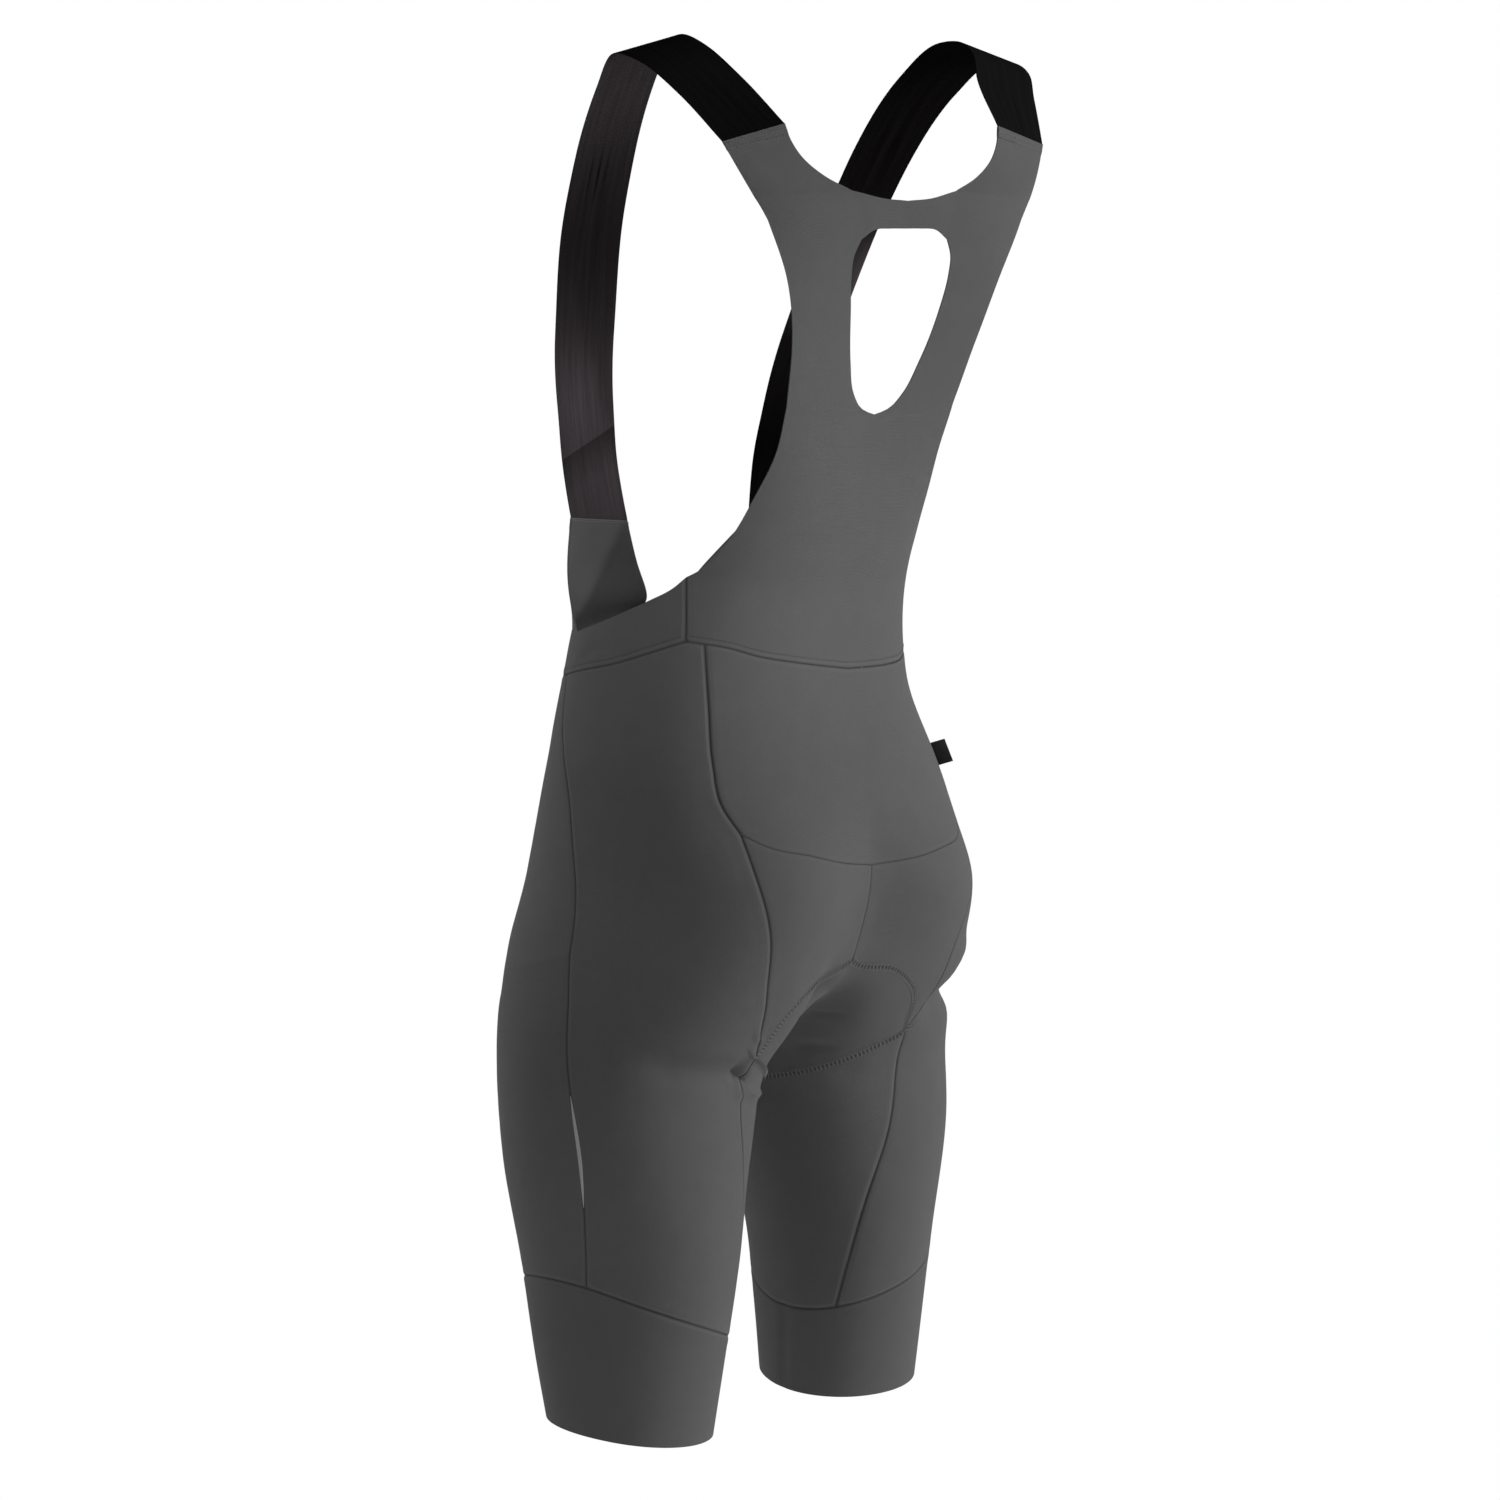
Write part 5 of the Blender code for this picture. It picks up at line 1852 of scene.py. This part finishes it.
# --------------------------------------------------------------------------------------
# The studio
# --------------------------------------------------------------------------------------
@dataclass(frozen=True)
class Studio:
    """White room, soft lights and the camera."""

    camera_at: tuple = (2.4537, 2.1399, -0.1120)
    target: tuple = (0.0013, -0.0684, -0.4820)
    frame: float = 1500.0  # the picture's size in pixels
    sensor: float = 36.0
    focal: float = 4778.0  # in the frame's pixels
    centre: tuple = (745.0, 750.0)
    clip_end: float = 60.0
    floor_z: float = -1.30
    floor_radius: float = 0.95
    floor_grey: float = 0.92
    floor_corners: int = 96
    world_light: float = 0.41
    world_seen: float = 1.0  # how bright the world is where the camera looks at it
    snoot_softness: float = 0.15
    # name, place, aim, size, power
    soft_lights: tuple = (
        ("key", (-1.9, 2.3, 0.5), (0, 0, -0.5), 1.3, 104),
        ("fill_front", (0.5, -3.0, -0.2), (0, 0, -0.5), 2.0, 30),
        ("low_back", (0.4, 2.6, -1.3), (-0.08, 0, -0.80), 1.0, 12),
    )
    # name, place, aim, angle, power
    snoot: tuple = ("snoot", (0.55, 2.4, 0.35), (0.095, -0.14, -0.345), 4.4, 480)

    @staticmethod
    def put(name: str, data: bpy.types.ID, place: tuple, aim: tuple) -> bpy.types.Object:
        """Puts a camera or a lamp in the scene, level.

        Args:
            name: its name.
            data: the camera or the lamp.
            place: where it stands.
            aim: what it looks at.

        Returns:
            The object.
        """
        made = linked(name, data)
        made.location = place
        made.rotation_euler = (Vector(aim) - Vector(place)).to_track_quat("-Z", "Y").to_euler()
        return made

    def camera(self) -> None:
        """The camera, looking at the hips."""
        data = bpy.data.cameras.new("camera")
        data.sensor_width = self.sensor
        data.lens = self.sensor * self.focal / self.frame
        data.shift_x = (self.frame / 2 - self.centre[0]) / self.frame
        data.shift_y = (self.centre[1] - self.frame / 2) / self.frame
        data.clip_end = self.clip_end
        bpy.context.scene.camera = self.put("camera", data, self.camera_at, self.target)

    def lights(self) -> None:
        """Soft square lights, and a narrow one that reaches the inner face of the front tab."""
        for name, place, aim, size, power in self.soft_lights:
            data = bpy.data.lights.new(name, "AREA")
            data.shape, data.size, data.energy = "SQUARE", size, power
            self.put(name, data, place, aim)
        name, place, aim, angle, power = self.snoot
        data = bpy.data.lights.new(name, "SPOT")
        data.spot_size, data.spot_blend = float(np.radians(angle)), 1.0
        data.energy, data.shadow_soft_size = power, self.snoot_softness
        self.put(name, data, place, aim)

    def floor(self) -> None:
        """The pale floor."""
        turn = np.linspace(0, 2 * np.pi, self.floor_corners + 1)[:-1]
        rim = [np.cos(turn) * self.floor_radius, np.sin(turn) * self.floor_radius, 0 * turn + self.floor_z]
        mesh = bpy.data.meshes.new("studio_floor")
        mesh.from_pydata(np.stack(rim, -1).tolist(), [], [list(range(len(turn)))])
        board = Board("floor_paint")
        colour = grey(self.floor_grey)
        for name, value in (("Base Color", colour), ("Roughness", 0.9), ("Specular IOR Level", 0.0)):
            board.shader.inputs[name].default_value = value
        mesh.materials.append(board.material)
        linked("studio_floor", mesh)

    def world(self) -> None:
        """A white world that the camera sees brighter than it shines."""
        world = bpy.data.worlds.new("white_room")
        world.use_nodes = True
        tree, white = world.node_tree, (1, 1, 1, 1)
        back = tree.nodes["Background"]
        back.inputs["Color"].default_value, back.inputs["Strength"].default_value = white, self.world_light
        seen = add_node(tree, "ShaderNodeBackground", {}, {"Color": white, "Strength": self.world_seen})
        path = add_node(tree, "ShaderNodeLightPath", {}, {}).outputs["Is Camera Ray"]
        mix = add_node(tree, "ShaderNodeMixShader", {}, {0: path, 1: back, 2: seen})
        plug(tree, tree.nodes["World Output"].inputs[0], mix)
        bpy.context.scene.world = world

    def build(self) -> None:
        """Camera, lights, floor and world."""
        self.camera()
        self.lights()
        self.floor()
        self.world()
        view = bpy.context.scene.view_settings
        view.view_transform, view.look, view.exposure, view.gamma = "Standard", "None", 0.0, 1.0


CREASES: tuple = (
    # puckers where the seat seam runs out beside the gusset, and the rolled end under them
    Crease(Side.LEFT, ((1, -0.6665), (-6, -0.6765)), 0.0018, -0.0013),
    Crease(Side.LEFT, ((-1, -0.678), (-9, -0.689)), 0.0018, -0.0013),
    Crease(Side.LEFT, ((-3, -0.689), (-12, -0.699)), 0.0018, -0.0013),
    Crease(Side.LEFT, ((-1, -0.693), (-7, -0.7020), (-16, -0.709)), 0.0036, 0.0044),
    Crease(Side.LEFT, ((-6, -0.709), (-20, -0.7140), (-38, -0.720)), 0.0038, -0.0042),
    Crease(
        Side.LEFT, ((-29, -0.634), (-31, -0.650), (-32, -0.666), (-36, -0.686), (-42, -0.704)), 0.0130, 0.0115
    ),
    Crease(Side.RIGHT, ((4, -0.668), (-5, -0.675)), 0.0018, -0.0010),
    Crease(Side.RIGHT, ((1, -0.681), (-8, -0.688)), 0.0018, -0.0010),
    # the long folds under the seat, lower on the left leg and deeper on the right one
    Crease(
        Side.LEFT, ((-12, -0.706), (-2, -0.700), (10, -0.695), (24, -0.691), (44, -0.686)), 0.0105, 0.0046
    ),
    Crease(
        Side.RIGHT, ((66, -0.657), (46, -0.661), (26, -0.666), (10, -0.672), (-4, -0.680)), 0.0150, 0.0105
    ),
    Crease(Side.RIGHT, ((66, -0.622), (46, -0.626), (26, -0.631), (10, -0.637)), 0.0120, -0.0030),
    # folds on the gusset and round the inner thigh
    Crease(Side.RIGHT, ((-53, -0.669), (-44, -0.6705), (-36, -0.671)), 0.0028, 0.0015),
    Crease(Side.RIGHT, ((-58, -0.696), (-50, -0.696), (-41, -0.6955)), 0.0045, 0.0022),
    Crease(Side.RIGHT, ((-46, -0.712), (-39, -0.7140), (-31, -0.713)), 0.0030, 0.0014),
    Crease(Side.LEFT, ((-50, -0.670), (-38, -0.6735)), 0.0030, 0.0012),
    Crease(Side.LEFT, ((-44, -0.722), (-30, -0.726)), 0.0040, 0.0010),
    Crease(Side.LEFT, ((150, -0.655), (178, -0.659), (205, -0.668)), 0.0060, 0.0014),
    Crease(Side.RIGHT, ((146, -0.650), (172, -0.658), (200, -0.662)), 0.0060, 0.0013),
    # above and on the grip bands
    Crease(Side.LEFT, ((140, -0.842), (176, -0.846)), 0.0040, 0.0010),
    Crease(Side.RIGHT, ((128, -0.838), (170, -0.842)), 0.0040, 0.0010),
    Crease(Side.LEFT, ((-88, -0.886), (-93, -0.925), (-95, -0.955)), 0.0045, 0.0014),
    Crease(Side.RIGHT, ((-89, -0.886), (-91, -0.925), (-93, -0.955)), 0.0045, 0.0014),
    # across the low side of the front bib, over the waist seam
    Crease(Side.LEFT, ((126, -0.4150), (104, -0.4045), (93, -0.3950)), 0.0042, 0.0013, True),
    Crease(Side.LEFT, ((112, -0.4330), (100, -0.4215), (86, -0.4195)), 0.0036, 0.0010, True),
    Crease(Side.RIGHT, ((122, -0.4170), (104, -0.4070), (90, -0.3990)), 0.0042, 0.0012, True),
    Crease(Side.RIGHT, ((114, -0.4300), (98, -0.4240)), 0.0036, 0.0009, True),
)


def main() -> None:
    """Builds the garment and the studio in order."""
    logging.basicConfig(level=logging.INFO, format="%(message)s")
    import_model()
    form = WornForm()
    lines = CutLines(form)
    finishes = Finishes.build()
    shorts, bib, book = Shorts(form, lines), Bib(form, lines), SeamBook()
    shorts.record_seams(book)
    bib.record_seams(book)
    relief = Relief(form, CREASES)
    cloths = {Slot.CLOTH: finishes.cloth, Slot.BAND: finishes.band}
    straps = {"strap_left": finishes.strap_left, "strap_right": finishes.strap_right}
    for piece in shorts.pieces() + bib.pieces():
        piece.build(form, book, relief, straps.get(piece.node) or cloths[piece.slot])
    sewing = Sewing(form, book, bib, StitchTree(finishes.thread), StitchTree(finishes.pale_thread))
    sewing.waist()
    sewing.gusset()
    sewing.strap_rows()
    trim = Trim(form, book, finishes)
    trim.label()
    trim.piping()
    Studio().build()
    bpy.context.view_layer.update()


if __name__ == "__main__":
    main()
